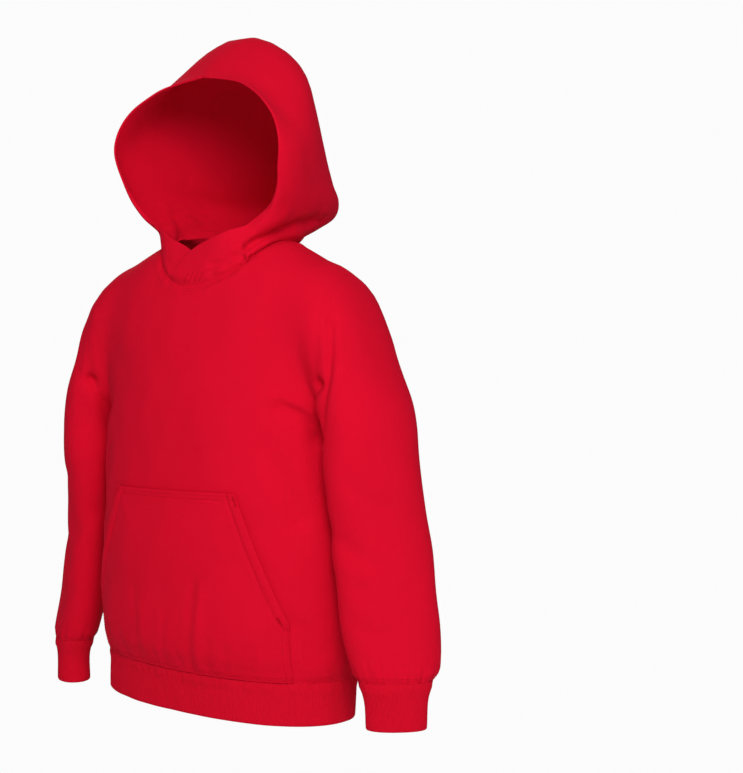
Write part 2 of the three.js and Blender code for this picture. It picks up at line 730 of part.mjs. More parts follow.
addPiece('front', clothSolid(frontSkin, torsoInside, wall));
addPiece('back', clothSolid(backSkin, torsoInside, wall));
for (const [side, name] of [[1, 'left'], [-1, 'right']]) {
  addPiece(`sleeve_${name}`, clothSolid(sleeveSkin(frontSkin, backSkin, side), sleeveInside(side), wall));
  const cuff = bandSkin(sleeveRows, sleeveField, (row) => ({ x: row.x, y: row.y }),
    cuffSeam - seamGap / 2, cuffBottom, cuffColumns, cuffRings);
  cuff.points = cuff.points.map(([x, y, z]) => [side * x, y, z]);
  addPiece(`cuff_${name}`, clothSolid(cuff, sleeveInside(side), bandWall));
  addPiece(`hood_${name}`, clothSolid(hoodSkin(side), hoodInside, wall));
}
const hem = bandSkin(torsoRows, torsoField, () => ({ x: 0, y: 0 }),
  hemSeam - seamGap / 2, hemBottom, hemColumns, hemRings);
hem.points = hem.points.map((point) => tilted(...point));
addPiece('hem_band', clothSolid(hem, torsoInside, bandWall));
addPiece('pocket', clothSolid(pocketSkin(), torsoInside, wall));

export default hoodie;
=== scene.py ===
import math
import bpy
import numpy as np
from mathutils import Matrix, Vector
from mathutils.kdtree import KDTree


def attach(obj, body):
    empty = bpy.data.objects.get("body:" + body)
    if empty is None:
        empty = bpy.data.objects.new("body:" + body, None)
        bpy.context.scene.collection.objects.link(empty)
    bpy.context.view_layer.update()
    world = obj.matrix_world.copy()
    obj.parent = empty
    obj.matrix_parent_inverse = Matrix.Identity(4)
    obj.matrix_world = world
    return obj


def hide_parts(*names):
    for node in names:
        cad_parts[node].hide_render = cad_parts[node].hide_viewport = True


# A child's red fleece hoodie with its hood up, filled out as if worn.
# Tables are in millimetres; every mesh is made in metres by `metre`.
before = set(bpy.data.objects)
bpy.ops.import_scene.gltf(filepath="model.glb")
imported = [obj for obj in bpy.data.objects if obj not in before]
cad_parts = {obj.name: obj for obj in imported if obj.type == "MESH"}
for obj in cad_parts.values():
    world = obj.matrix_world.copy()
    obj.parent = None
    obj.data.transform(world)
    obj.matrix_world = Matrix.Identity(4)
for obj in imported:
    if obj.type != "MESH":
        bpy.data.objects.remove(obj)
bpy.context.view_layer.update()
metre = 0.001

# garment form
cloth = {"fleece": 2.4, "rib": 3.0, "seamGap": 0.1}

heights = {"hemBottom": -498, "hemSeam": -454, "underarm": -195, "armholeMiddle": -120,
           "bicep": -238, "cuffSeam": -452, "cuffBottom": -500}
hemTilt = {"slope": 0.045, "top": -250}

neckline = {"frontLean": 0.8, "backLean": 0.4, "leftHalfWidth": 80, "rightHalfWidth": 67,
            "leftSquareness": 0.75, "rightSquareness": 1.15}
armhole = {"rise": [0, 0.25, 0.6, 1], "x": [152, 156, 162, 163]}
neckTurn = {"across": 2, "up": 0.8}

torso = {
    "z":         [-498, -454, -430, -370, -300, -240, -195, -140, -90, -45, 20],
    "halfWidth": [155, 156, 160, 161, 159, 156, 153, 151, 150, 150, 150],
    "front":     [91, 94, 101, 104, 103, 101, 99, 94, 86, 77, 70],
    "back":      [82, 84, 88, 90, 90, 90, 90, 90, 87, 80, 70],
}
torsoPower = 2.2
sleeve = {
    "z":     [-500, -472, -454, -438, -395, -300, -240, -195, -140, -90, -40],
    "x":     [229, 229, 228, 226, 217, 204, 196, 191, 176, 161, 146],
    "y":     [-15, -15, -14, -11, -8, -7, -11, -8, -5, -2, 0],
    "broad": [31, 32, 38, 46, 51, 52, 52, 53, 56, 57, 56],
    "thin":  [19, 19, 22, 25, 27, 28, 32, 35.5, 41, 45, 46],
    "turn":  [0.7, 0.7, 0.7, 0.7, 0.73, 0.87, 1.02, 1.2, 1.35, 1.57, 1.57],
}
sleevePower = 2.15
ridge = {"x": [0, 72, 110, 150, 180, 205, 230, 260, 300],
         "z": [10, 5, -8, -25, -48, -84, -140, -210, -300]}
ridgeRound = 95
shoulderSoftness = 34
shoulderRise = 80
neckColumn = {"halfWidth": 61, "front": 60, "back": 50, "softness": 12}
armpitSoftness = {"low": 1.5, "high": 34, "from": -200, "to": -70}

hoodCentre = np.array([0.0, -5.0, 60.0])
hood = {
    "z":         [-60, -26, 0, 14, 30, 48, 66, 90, 120, 155, 190, 230],
    "halfWidth": [62, 70, 82, 91, 100, 109, 114, 118, 119, 117, 112, 106],
    "middle":    [-5, -5, -6, -10, -22, -32, -38, -41, -42, -42, -40, -40],
    "front":     [72, 66, 62, 56, 63, 80, 94, 105, 110, 110, 110, 110],
    "back":      [45, 52, 76, 106, 147, 159, 151, 140, 130, 122, 118, 118],
    "power":     [2.1, 2.1, 2.2, 2.4, 2.5, 2.5, 2.4, 2.3, 2.2, 2.1, 2.1, 2.1],
}
hoodRidge = {"y": [-80, -47, -15, 15, 45, 80, 130],
             "z": [165, 180, 208, 228, 228, 212, 170]}
hoodRound = 92
hoodSoftness = 26
rim = {
    "share": [0, 0.08, 0.2, 0.32, 0.42, 0.53, 0.65, 0.77, 0.88, 1],
    "x":     [-27, 0, 41, 68, 93, 110, 116, 99, 58, 0],
    "y":     [-76, -76, -62, -47, -45, -56, -62, -59, -52, -47],
    "z":     [-46, -27, 2, 18, 38, 70, 106, 139, 165, 177],
}
crossing = {"columns": 2, "of": 16, "lift": 3.0, "until": 0.24, "fade": 0.2}

cap = {"inner": 162, "y": -3}
bandSamples = 1441
hoodFit = {"fade": 0.7, "rimFrom": 0.15, "rimOver": 0.2, "misses": 121}
ray = {"fine": 3, "step": 4, "coarse": 8, "far": 600, "halvings": 20}

# troughs pressed into the cloth on both sides alike: from, to, width and depth
armholeFolds = [
    (164, -42, -88, 164, -46, -150, 11, 5),
    (164, -46, -150, 151, -28, -200, 10, 6),
    (148, -32, -200, 120, -64, -172, 9, 3.5),
    (160, 44, -110, 151, 26, -198, 13, 5),
]
waistFolds = [
    (122, -68, -240, 138, -58, -290, 12, 3),
    (137, -60, -395, 150, -38, -422, 10, 2.5),
]
sleeveFolds = [
    (172, -38, -300, 196, -44, -322, 12, 2.5),
    (182, -34, -345, 206, -42, -356, 11, 2),
]
hoodFolds = [
    (38, -68, -31, 64, -46, -6, 9, 5),
    (64, -46, -6, 80, -18, 11, 9, 7),
    (80, -18, 11, 92, 32, 22, 11, 5),
]


def ease(value):
    share = np.clip(value, 0, 1)
    return share * share * (3 - 2 * share)


def blend(first, last, share):
    return first + (last - first) * share


def span(value, first, last):
    return (value - first) / (last - first)


def xyz(x, y, z):
    return np.stack(np.broadcast_arrays(x, y, z), -1)


def rowAt(table, key, value, names=None):
    # a smooth curve through the table's rows, which go up in the column named key
    keys = np.array(table[key], float)
    value = np.asarray(value, float)
    last = len(keys) - 1
    index = np.clip(np.searchsorted(keys, value, side="left") - 1, 0, last - 1)
    before = np.maximum(index - 1, 0)
    after = np.minimum(index + 2, last)
    gap = keys[index + 1] - keys[index]
    t = np.clip((value - keys[index]) / gap, 0, 1)
    result = {}
    for name in names or [name for name in table if name != key]:
        column = np.array(table[name], float)
        startSlope = (column[index + 1] - column[before]) / (keys[index + 1] - keys[before]) * gap
        endSlope = (column[after] - column[index]) / (keys[after] - keys[index]) * gap
        result[name] = ((2 * t ** 3 - 3 * t ** 2 + 1) * column[index]
                        + (t ** 3 - 2 * t ** 2 + t) * startSlope
                        + (3 * t ** 2 - 2 * t ** 3) * column[index + 1] + (t ** 3 - t ** 2) * endSlope)
    return result


def softMin(a, b, softness):
    return (a + b - np.hypot(a - b, softness)) / 2


def softMax(a, b, softness):
    return (a + b + np.hypot(a - b, softness)) / 2

def ovalField(across, along, halfAcross, halfAlong, power):
    ratio = (np.abs(across / halfAcross) ** power + np.abs(along / halfAlong) ** power) ** (1 / power)
    return (ratio - 1) * np.hypot(across, along) / np.maximum(ratio, 1e-6)


def foldLift(folds, x, y, z):
    # how far the folds press the cloth in at a place
    x = np.abs(x)
    lift = np.zeros(np.broadcast(x, y, z).shape)
    for *ends, width, depth in folds:
        run = np.array(ends[3:], float) - ends[:3]
        away = (x - ends[0], y - ends[1], z - ends[2])
        share = np.clip(sum(run[axis] * away[axis] for axis in range(3)) / (run @ run), 0, 1)
        gap = sum((away[axis] - run[axis] * share) ** 2 for axis in range(3))
        lift = lift + depth * np.exp(-gap / width ** 2)
    return lift


def torsoOval(x, y, z):
    row = rowAt(torso, "z", z)
    return ovalField(x, y, row["halfWidth"], np.where(y < 0, row["front"], row["back"]), torsoPower)


def torsoField(x, y, z):
    return torsoOval(x, y, z) + foldLift(armholeFolds + waistFolds, x, y, z)


def sleeveField(x, y, z):
    row = rowAt(sleeve, "z", z)
    dx = np.abs(x) - row["x"]
    dy = y - row["y"]
    cosTurn, sinTurn = np.cos(row["turn"]), np.sin(row["turn"])
    return ovalField(dx * cosTurn + dy * sinTurn, dy * cosTurn - dx * sinTurn,
                     row["broad"], row["thin"], sleevePower)


def roofField(x, y, z):
    reach = np.abs(x)
    height = rowAt(ridge, "x", reach)["z"]
    fall = rowAt(ridge, "x", reach + 1)["z"] - height
    return (z - height + y * y / (2 * ridgeRound)) / np.hypot(1, fall)


def shoulderField(x, y, z, body):
    share = ease(span(z, armpitSoftness["from"], armpitSoftness["to"]))
    softness = blend(armpitSoftness["low"], armpitSoftness["high"], share)
    joined = softMin(body, sleeveField(x, y, z), softness)
    rounding = ease((z - heights["underarm"]) / shoulderRise)
    roofed = softMax(joined, roofField(x, y, z), shoulderSoftness * rounding)
    depth = np.where(y < 0, neckColumn["front"], neckColumn["back"])
    opening = ovalField(x, y, neckColumn["halfWidth"], depth, 2)
    opened = softMin(roofed, opening, neckColumn["softness"] * rounding)
    return opened + foldLift(armholeFolds, x, y, z)


def torsoForm(x, y, z):
    return shoulderField(x, y, z, torsoOval(x, y, z))


def sleeveForm(x, y, z):
    body = np.maximum(torsoOval(x, y, z), heights["underarm"] - z)
    return shoulderField(x, y, z, body) + foldLift(sleeveFolds, x, y, z)


def hoodForm(x, y, z):
    row = rowAt(hood, "z", z)
    depth = np.where(y < row["middle"], row["front"], row["back"])
    sides = ovalField(x, y - row["middle"], row["halfWidth"], depth, row["power"])
    top = z - rowAt(hoodRidge, "y", y)["z"] + x * x / (2 * hoodRound)
    return softMax(sides, top, hoodSoftness)


def tilted(points):
    # the hem hangs a little lower on the wearer's left
    share = ease(span(points[..., 2], hemTilt["top"], heights["hemSeam"]))
    moved = points.copy()
    moved[..., 2] -= hemTilt["slope"] * points[..., 0] * share
    return moved


def field(form, points):
    return form(points[..., 0], points[..., 1], points[..., 2])


def leave(form, start, way, step=ray["step"]):
    # where rays from inside a form first leave it
    start, way = np.broadcast_arrays(np.asarray(start, float), np.asarray(way, float))
    shape = start.shape
    start, way = start.reshape(-1, 3), way.reshape(-1, 3)
    far = np.full(len(start), float(step))
    running = np.arange(len(start))
    while len(running):
        inside = field(form, start[running] + way[running] * far[running, None]) < 0
        running = running[inside & (far[running] < ray["far"])]
        far[running] += step
    near = far - step
    for _ in range(ray["halvings"]):
        middle = (near + far) / 2
        inside = field(form, start + way * middle[:, None]) < 0
        near = np.where(inside, middle, near)
        far = np.where(inside, far, middle)
    return (start + way * near[:, None]).reshape(shape)


def unit(vectors):
    return vectors / np.maximum(np.linalg.norm(vectors, axis=-1, keepdims=True), 1e-9)


def slope(form, points, step=0.5):
    # the outward direction of a form at points on it
    ways = [field(form, points + shift) - field(form, points - shift) for shift in step * np.eye(3)]
    return unit(np.stack(ways, -1))


def neckLean(angle):
    full = np.where(np.cos(angle) < 0, neckline["backLean"], neckline["frontLean"])
    square = np.where(angle < 0, neckline["rightSquareness"], neckline["leftSquareness"])
    return full * np.abs(np.cos(angle)) ** square


def neckHalf(turn):
    return np.where(turn < 0, neckline["rightHalfWidth"], neckline["leftHalfWidth"])


def neckPoints(angle):
    # the neckline, from the front middle at 0 to the back at pi by the left, at -pi by the right
    lean = neckLean(angle)
    start = xyz(neckHalf(angle) * np.sin(angle), 0, heights["armholeMiddle"])
    way = xyz(0, np.where(np.cos(angle) < 0, 1, -1) * np.sin(lean), np.cos(lean))
    return leave(torsoForm, start, way)


# the skins
def bodySkin(face, grid):
    # face -1 is the front, 1 the back; a grid of points with a map of those in use
    halfGap = cloth["seamGap"] / 2
    edgeX = armhole["x"][0] - halfGap
    edge = leave(torsoField, [edgeX, 0, heights["underarm"]], [0, face, 0])
    edgeAngle = math.atan2(abs(edge[1]), edge[0])
    seamAngle = halfGap / torso["halfWidth"][0]
    columns = []
    for index in range(grid["underarm"]):
        columns.append((seamAngle + (edgeAngle - seamAngle) * index / grid["underarm"], -1, 0))
    upperCount = grid["shoulder"] + grid["neck"] // 2
    for index in range(upperCount):
        columns.append((0, min(index / grid["shoulder"], 1),
                        math.pi / 2 * min((upperCount - index) / (grid["neck"] // 2), 1)))
    half = np.array(columns)
    table = np.concatenate([half, [[0, 1, 0]], half[::-1]])
    footShare = np.clip(1 - (np.arange(len(half)) - grid["underarm"]) / upperCount, 0, 1)
    foot = np.concatenate([footShare, [0], footShare[::-1]]) * edgeX
    share = np.maximum(table[:, 1], 0)
    turn = share ** 2 * np.sin(table[:, 2])
    mirror = np.concatenate([np.ones(len(half) + 1), -np.ones(len(half))])
    short = table[:, 1] < 0

    def columnX(rise):
        first, here, last = [float(rowAt(armhole, "rise", at)["x"]) - halfGap for at in (0, rise, 1)]
        top = blend(last, neckHalf(mirror) * np.sin(table[:, 2]), share)
        part = rise ** (1 + neckTurn["across"] * turn)
        bulge = here - first - (last - first) * part
        return blend(foot, top, part) + bulge * (1 - share)

    start = leave(torsoField, xyz(columnX(0), 0, heights["underarm"]), [0, face, 0])
    angle = np.where(short, table[:, 0], np.arctan2(np.abs(start[:, 1]), start[:, 0]))
    low = np.arctan2(heights["underarm"] - heights["armholeMiddle"], np.abs(start[:, 1]))
    zs = np.linspace(heights["hemSeam"] + halfGap, heights["underarm"] - halfGap, grid["lower"] + 1)
    way = xyz(mirror * np.cos(angle), face * np.sin(angle), 0)
    lower = tilted(leave(torsoField, xyz(0, 0, zs)[:, None], way, ray["coarse"]))
    around = table[:, 2] if face < 0 else math.pi - table[:, 2]
    lean = np.maximum(neckLean(mirror * around), halfGap / -heights["armholeMiddle"])
    upper = []
    for rise in np.linspace(0, 1, grid["upper"] + 1)[1:]:
        climb = blend(low, math.pi / 2 - lean, rise + neckTurn["up"] * turn * rise * (1 - rise))
        begin = xyz(mirror * columnX(rise), 0, heights["armholeMiddle"])
        upper.append(leave(torsoForm, begin, xyz(0, face * np.cos(climb), np.sin(climb))))
    points = np.concatenate([lower, np.array(upper)])
    used = np.ones(points.shape[:2], bool)
    used[grid["lower"] + 1:, short] = False
    return points, used


def capPoints(loop, grid):
    # the sleeve from the armhole loop down to the cuff seam, on the wearer's left
    hingeX, startZ = armhole["x"][0], heights["armholeMiddle"]
    fromLow = np.unwrap(np.arctan2(cap["y"] - loop[:, 1], startZ - loop[:, 2]))
    even = 2 * math.pi * np.arange(len(loop)) / len(loop)
    rows = [loop]
    end = {name: float(value) for name, value in rowAt(sleeve, "z", heights["bicep"]).items()}
    for ring in range(1, grid["cap"] + 1):
        share = ring / grid["cap"]
        outX, outZ = math.sin(math.pi / 2 * share), math.cos(math.pi / 2 * share)
        reach = (startZ - heights["underarm"]) * (1 - share) + (end["x"] - cap["inner"]) * share
        begin = xyz(blend(hingeX, cap["inner"], share) + outX * reach, blend(cap["y"], end["y"], share),
                    blend(heights["underarm"], heights["bicep"], share) + outZ * reach)
        angle = -math.pi / 2 - fromLow - (even - fromLow) * share
        along = np.sin(angle)
        aside = (loop[:, :1] - hingeX) * (1 - share) ** 2 * np.array([1.0, 0, 0])
        way = xyz(along * outX, np.cos(angle), along * outZ)
        rows.append(leave(sleeveForm, begin + aside, way, ray["fine"]))
    angle = -math.pi / 2 - even
    drop = heights["cuffSeam"] + cloth["seamGap"] / 2 - heights["bicep"]
    for ring in range(1, grid["arm"] + 1):
        z = heights["bicep"] + drop * ring / grid["arm"]
        row = rowAt(sleeve, "z", z)
        begin = xyz(row["x"], row["y"], z)
        rows.append(leave(sleeveForm, begin, xyz(np.sin(angle), np.cos(angle), 0), ray["fine"]))
    return np.array(rows)


def armholeLoop(front, back, grid):
    # from the underarm up the front edge, over the shoulder and down the back
    def edge(points):
        under = points[grid["lower"], :grid["underarm"]]
        return np.concatenate([under, points[grid["lower"]:, grid["underarm"]]])
    up, down = edge(front), edge(back)
    first = (up[0] + down[0]) / 2
    top = (up[-1] + down[-1]) / 2
    return np.concatenate([[first], up[1:-1], [top], down[1:-1][::-1]])


def lengthAlong(line):
    steps = np.linalg.norm(np.diff(line, axis=0), axis=-1)
    return np.concatenate([0 * steps[:1], np.cumsum(steps, axis=0)])


def bandPoints(table, form, top, bottom, columns, rings):
    # rings of a band with columns evenly spaced along its top edge, so that its ribs are even
    def ringAt(z, angle):
        centre = rowAt(table, "z", z, ["x", "y"]) if "x" in table else {"x": 0, "y": 0}
        begin = xyz(centre["x"], centre["y"], z)
        return leave(form, begin, xyz(np.cos(angle), np.sin(angle), 0), ray["fine"])

    dense = np.linspace(0, 2 * math.pi, bandSamples)
    length = lengthAlong(ringAt(top, dense))
    angle = np.interp(np.arange(columns) / columns * length[-1], length, dense)
    return np.array([ringAt(z, angle) for z in np.linspace(top, bottom, rings + 1)])


def crossedShare(share):
    # 1 where the halves of the hood lie on each other, 0 beyond
    return 1 - ease((share - crossing["until"]) / crossing["fade"])


def hoodPoints(side, over, grid):
    # one half of the hood, by rings from the neckline to the rim; side 1 is the wearer's left
    share = np.linspace(0, 1, grid["columns"] + 1)
    turns = np.linspace(-crossing["columns"], crossing["of"], grid["columns"] + 1) / crossing["of"]
    necks = neckPoints(side * turns * math.pi)
    normals = slope(torsoForm, necks)
    missWay = neckPoints(np.linspace(-math.pi, math.pi, hoodFit["misses"])) - hoodCentre
    missReach = np.linalg.norm(missWay, axis=1)
    missWay = unit(missWay)
    formReach = np.linalg.norm(leave(hoodForm, hoodCentre, missWay) - hoodCentre, axis=1)
    misses = {"around": np.arctan2(missWay[:, 0], -missWay[:, 1]), "miss": missReach - formReach,
              "climb": np.arcsin(missWay[:, 2])}

    def reachOf(way):
        onForm = leave(hoodForm, hoodCentre, way)
        near = rowAt(misses, "around", np.arctan2(way[:, 0], -way[:, 1]))
        fade = np.clip(1 - (np.arcsin(way[:, 2]) - near["climb"]) / hoodFit["fade"], 0, 1)
        reach = np.linalg.norm(onForm - hoodCentre, axis=1) + near["miss"] * fade * fade
        return reach - foldLift(hoodFolds, *onForm.T) * (1 - fade ** 4)

    rimAt = rowAt(rim, "share", share)
    rimWay = xyz(side * rimAt["x"], rimAt["y"], rimAt["z"]) - hoodCentre
    rimReach = np.linalg.norm(rimWay, axis=1)
    neckWay, rimWay = unit(necks - hoodCentre), unit(rimWay)
    rimMiss = (rimReach - reachOf(rimWay)) * ease((share - hoodFit["rimFrom"]) / hoodFit["rimOver"])
    between = np.arccos(np.clip(np.sum(neckWay * rimWay, axis=1), -1, 1))[:, None]
    rows = []
    for ring in range(grid["rings"] + 1):
        part = ring / grid["rings"]
        way = unit(neckWay * np.sin((1 - part) * between) + rimWay * np.sin(part * between))
        points = hoodCentre + way * (reachOf(way) + rimMiss * part ** 3)[:, None]
        lift = unit(normals * (1 - part) + np.array([0, -part, 0]))
        points = points + lift * (over * crossedShare(share))[:, None]
        points[-1, 0] = side * cloth["seamGap"] / 2
        rows.append(points)
    return np.array(rows)


# making the cloth
def skinNormals(skin, quads):
    cross = np.cross(skin[quads[:, 2]] - skin[quads[:, 0]], skin[quads[:, 3]] - skin[quads[:, 1]])
    normals = np.zeros_like(skin)
    for corner in range(4):
        np.add.at(normals, quads[:, corner], cross)
    return unit(normals)


def gridQuads(points, inside, round, used):
    # the used points of a grid, its four-cornered faces, outward normals and the points' numbers
    number = np.full(points.shape[:2], -1)
    number[used] = np.arange(used.sum())
    wrapped = np.concatenate([number, number[:, :1]], 1) if round else number
    quads = np.stack([wrapped[:-1, :-1], wrapped[:-1, 1:], wrapped[1:, 1:], wrapped[1:, :-1]], -1)
    quads = quads.reshape(-1, 4)
    quads = quads[(quads >= 0).all(1)]
    skin = points[used]
    normals = skinNormals(skin, quads)
    if np.sum(normals * (skin - inside(skin))) < 0:
        quads = quads[:, ::-1]
        normals = -normals
    return skin, quads, normals, number


def openEdgesOf(quads, count):
    edges = np.concatenate([quads[:, [k, (k + 1) % 4]] for k in range(4)])
    keys = edges[:, 0] * count + edges[:, 1]
    back = edges[:, 1] * count + edges[:, 0]
    return edges[~np.isin(keys, back)]


def pathDistance(points, path, reach=30.0):
    # the distance from each point to a path of straight stretches, exact within the reach
    path = np.asarray(path, float)
    best = np.full(len(points), reach)
    for start, end in zip(path[:-1], path[1:]):
        middle = (start + end) / 2
        near = np.abs(points - middle).max(axis=1) < reach + np.linalg.norm(end - start) / 2
        if not near.any():
            continue
        run = end - start
        share = np.clip((points[near] - start) @ run / max(run @ run, 1e-9), 0, 1)
        gap = np.linalg.norm(points[near] - start - share[:, None] * run, axis=1)
        best[near] = np.minimum(best[near], gap)
    return best


def creaseLift(points, table):
    # how far the creases press the cloth in; ridges have a negative depth
    lift = np.zeros(len(points))
    for width, depth, *path in table:
        lift += depth * np.exp(-(pathDistance(points, path, 3 * width) / width) ** 2)
    return lift


slack = {"waves": [(150, 0.9, 5), (70, 0.45, 7), (34, 0.16, 8)], "upright": 0.6, "seed": 7}


def slackness(points):
    # soft unevenness of hanging cloth: a few long swells and many small ones
    random = np.random.default_rng(slack["seed"])
    total = np.zeros(len(points))
    for size, height, count in slack["waves"]:
        for _ in range(count):
            way = random.normal(size=3) * np.array([1.0, 1.0, slack["upright"]])
            way *= 2 * math.pi / size / np.linalg.norm(way)
            total += height / math.sqrt(count) * np.sin(points @ way + random.uniform(0, 2 * math.pi))
    return total


def placed(name, data):
    holder = bpy.data.objects.new(name, data)
    bpy.context.scene.collection.objects.link(holder)
    return holder


def closedShell(name, skin, quads, normals, thickness, free):
    # the skin, a copy moved inwards and edges between them: half round where free, flat at seams
    count = len(skin)
    inner = skin - normals * thickness[:, None]
    openEdges = openEdgesOf(quads, count)
    along = skin[openEdges[:, 1]] - skin[openEdges[:, 0]]
    outward = np.zeros_like(skin)
    for end in range(2):
        np.add.at(outward, openEdges[:, end], np.cross(along, normals[openEdges[:, end]]))
    edgeOf = np.unique(openEdges)
    outward = unit(outward[edgeOf])
    bulge = free[edgeOf].astype(float)
    place = np.full(count, -1)
    place[edgeOf] = np.arange(len(edgeOf))
    steps = 4
    rings = []
    for step in range(1, steps):
        turn = math.pi * step / steps
        depth = (thickness[edgeOf] * (1 - math.cos(turn)) / 2)[:, None]
        swell = (bulge * thickness[edgeOf] / 2 * math.sin(turn))[:, None]
        rings.append(skin[edgeOf] - normals[edgeOf] * depth + outward * swell)
    places = np.concatenate([skin, inner] + rings) * metre
    first, second = openEdges[:, 0], openEdges[:, 1]
    chains = [(first, second)]
    for step in range(steps - 1):
        shift = 2 * count + step * len(edgeOf)
        chains.append((place[first] + shift, place[second] + shift))
    chains.append((first + count, second + count))
    strips = [np.stack([high[1], high[0], low[0], low[1]], -1)
              for high, low in zip(chains[:-1], chains[1:])]
    faces = np.concatenate([quads, quads[:, ::-1] + count] + strips)
    mesh = bpy.data.meshes.new(name)
    mesh.from_pydata(places.tolist(), [], faces.tolist())
    mesh.polygons.foreach_set("use_smooth", np.ones(len(faces), bool))
    mesh.validate()
    # seams are crisp, free edges stay smooth
    sewnOnes = np.tile((bulge[place[openEdges]] == 0).any(axis=1), 2)
    sewn = np.concatenate([openEdges, openEdges + count])[sewnOnes]
    ends = np.zeros(len(mesh.edges) * 2, np.int64)
    mesh.edges.foreach_get("vertices", ends)
    ends = np.sort(ends.reshape(-1, 2), axis=1)
    sewn = np.sort(sewn, axis=1)
    crisp = mesh.attributes.new("sharp_edge", "BOOLEAN", "EDGE")
    crisp.data.foreach_set("value", np.isin(ends @ (len(places), 1), sewn @ (len(places), 1)))
    return placed(name, mesh)


def torsoInside(points):
    return xyz(0, 0, np.minimum(points[:, 2], heights["underarm"]))


def sleeveInside(side):
    def inside(points):
        z = np.minimum(points[:, 2], heights["armholeMiddle"])
        row = rowAt(sleeve, "z", z, ["x", "y"])
        return xyz(side * row["x"], row["y"], z)
    return inside


def hoodInside(points):
    return hoodCentre


pocket = {"top": -264, "topHalfWidth": 80, "mouthBottom": -392, "halfWidth": 130, "gape": 2.2,
          "lift": 0.8, "hemGap": 0.3}


def pocketPoints(grid):
    share = np.linspace(-1, 1, grid["columns"] + 1)
    zs = np.linspace(heights["hemSeam"] + pocket["hemGap"], pocket["top"], grid["rows"] + 1)[:, None]
    slant = np.clip(span(zs, pocket["mouthBottom"], pocket["top"]), 0, 1)
    x = share * blend(pocket["halfWidth"], pocket["topHalfWidth"], slant)
    onFront = leave(torsoField, xyz(x, 0, zs), [0, -1, 0], ray["coarse"])
    normal = slope(torsoField, onFront)
    normal[..., 2] = 0
    gape = pocket["gape"] * np.sin(math.pi * slant) * np.abs(share) ** 6
    lift = pocket["lift"] + cloth["fleece"] + gape
    return tilted(onFront + unit(normal) * lift[..., None])


# materials
def nodeGroup(name, kind, inputs, outputs):
    tree = bpy.data.node_groups.new(name, kind + "NodeTree")
    for label, form, value in inputs:
        socket = tree.interface.new_socket(label, in_out="INPUT", socket_type="NodeSocket" + form)
        if value is not None:
            socket.default_value = value
    for label, form in outputs:
        tree.interface.new_socket(label, in_out="OUTPUT", socket_type="NodeSocket" + form)
    return tree, tree.nodes.new("NodeGroupInput").outputs, tree.nodes.new("NodeGroupOutput").inputs


def fill(tree, node, inputs):
    # sets inputs to values, or links them where a socket is given
    for slot, value in inputs.items():
        if isinstance(value, bpy.types.NodeSocket):
            tree.links.new(value, node.inputs[slot])
        else:
            node.inputs[slot].default_value = value


def addNode(tree, kind, inputs=None, **settings):
    node = tree.nodes.new(kind)
    for setting, value in settings.items():
        setattr(node, setting, value)
    fill(tree, node, inputs or {})
    return node.outputs


def maths(tree, kind, first, second=0):
    return addNode(tree, "ShaderNodeMath", {0: first, 1: second}, operation=kind)[0]


surface = {"patches": (22, 3), "fibres": (1500, 4), "swirl": (420, 2), "diagonal": 0.4,
           "patchTint": 0.5, "fibreTint": 0.9, "middleTint": 0.7, "uneven": 0.1,
           "fibreHeight": 0.6, "swirlHeight": 0.5, "waleHeight": 0.08}


def fleeceGroup():
    # brushed jersey: slight mottling of the dye, short fibres and knit wales too fine to count
    tree, start, end = nodeGroup("fleeceLook", "Shader", [
        ("Colour", "Color", (1, 1, 1, 1)), ("Mottle", "Float", 0.1),
        ("Wale Pitch", "Float", 0.0011), ("Roughness", "Float", 0.9)],
        [("Base Color", "Color"), ("Roughness", "Float"), ("Height", "Float")])
    place = addNode(tree, "ShaderNodeTexCoord")["Object"]
    patches, fibres, swirl = [
        addNode(tree, "ShaderNodeTexNoise", {
            "Scale": surface[name][0], "Detail": surface[name][1], "Vector": place})["Fac"]
        for name in ("patches", "fibres", "swirl")]

    def scaled(value, name):
        return maths(tree, "MULTIPLY", value, surface[name])

    split = addNode(tree, "ShaderNodeSeparateXYZ", {0: place})
    side = maths(tree, "ADD", split["X"], scaled(split["Y"], "diagonal"))
    side = maths(tree, "DIVIDE", maths(tree, "MULTIPLY", side, 2 * math.pi), start["Wale Pitch"])
    wave = scaled(maths(tree, "SINE", side), "waleHeight")
    spread = maths(tree, "ADD", scaled(patches, "patchTint"), scaled(fibres, "fibreTint"))
    spread = maths(tree, "SUBTRACT", spread, surface["middleTint"])
    shade = maths(tree, "ADD", 1, maths(tree, "MULTIPLY", spread, start["Mottle"]))
    tint = addNode(tree, "ShaderNodeVectorMath", {0: start["Colour"], "Scale": shade}, operation="SCALE")
    uneven = scaled(maths(tree, "SUBTRACT", swirl, 0.5), "uneven")
    relief = maths(tree, "ADD", scaled(fibres, "fibreHeight"), scaled(swirl, "swirlHeight"))
    tree.links.new(tint[0], end["Base Color"])
    tree.links.new(maths(tree, "ADD", start["Roughness"], uneven), end["Roughness"])
    tree.links.new(maths(tree, "ADD", relief, wave), end["Height"])
    return tree


fleece = {"colour": (0.62, 0.0026, 0.0200), "mottle": 0.12, "roughness": 0.9, "bump": 0.00022,
          "bumpStrength": 0.8, "specular": 0.05, "sheen": 0.08, "sheenRough": 0.5,
          "sheenTint": (1.0, 0.03, 0.12)}
ribbing = dict(fleece, colour=(0.60, 0.0030, 0.0190), mottle=0.1, bump=0.00018, sheen=0.05)
thread = dict(fleece, colour=(0.56, 0.0025, 0.0160), mottle=0.05, roughness=0.7, bump=0.00005, sheen=0.0)
fleeceLook = fleeceGroup()


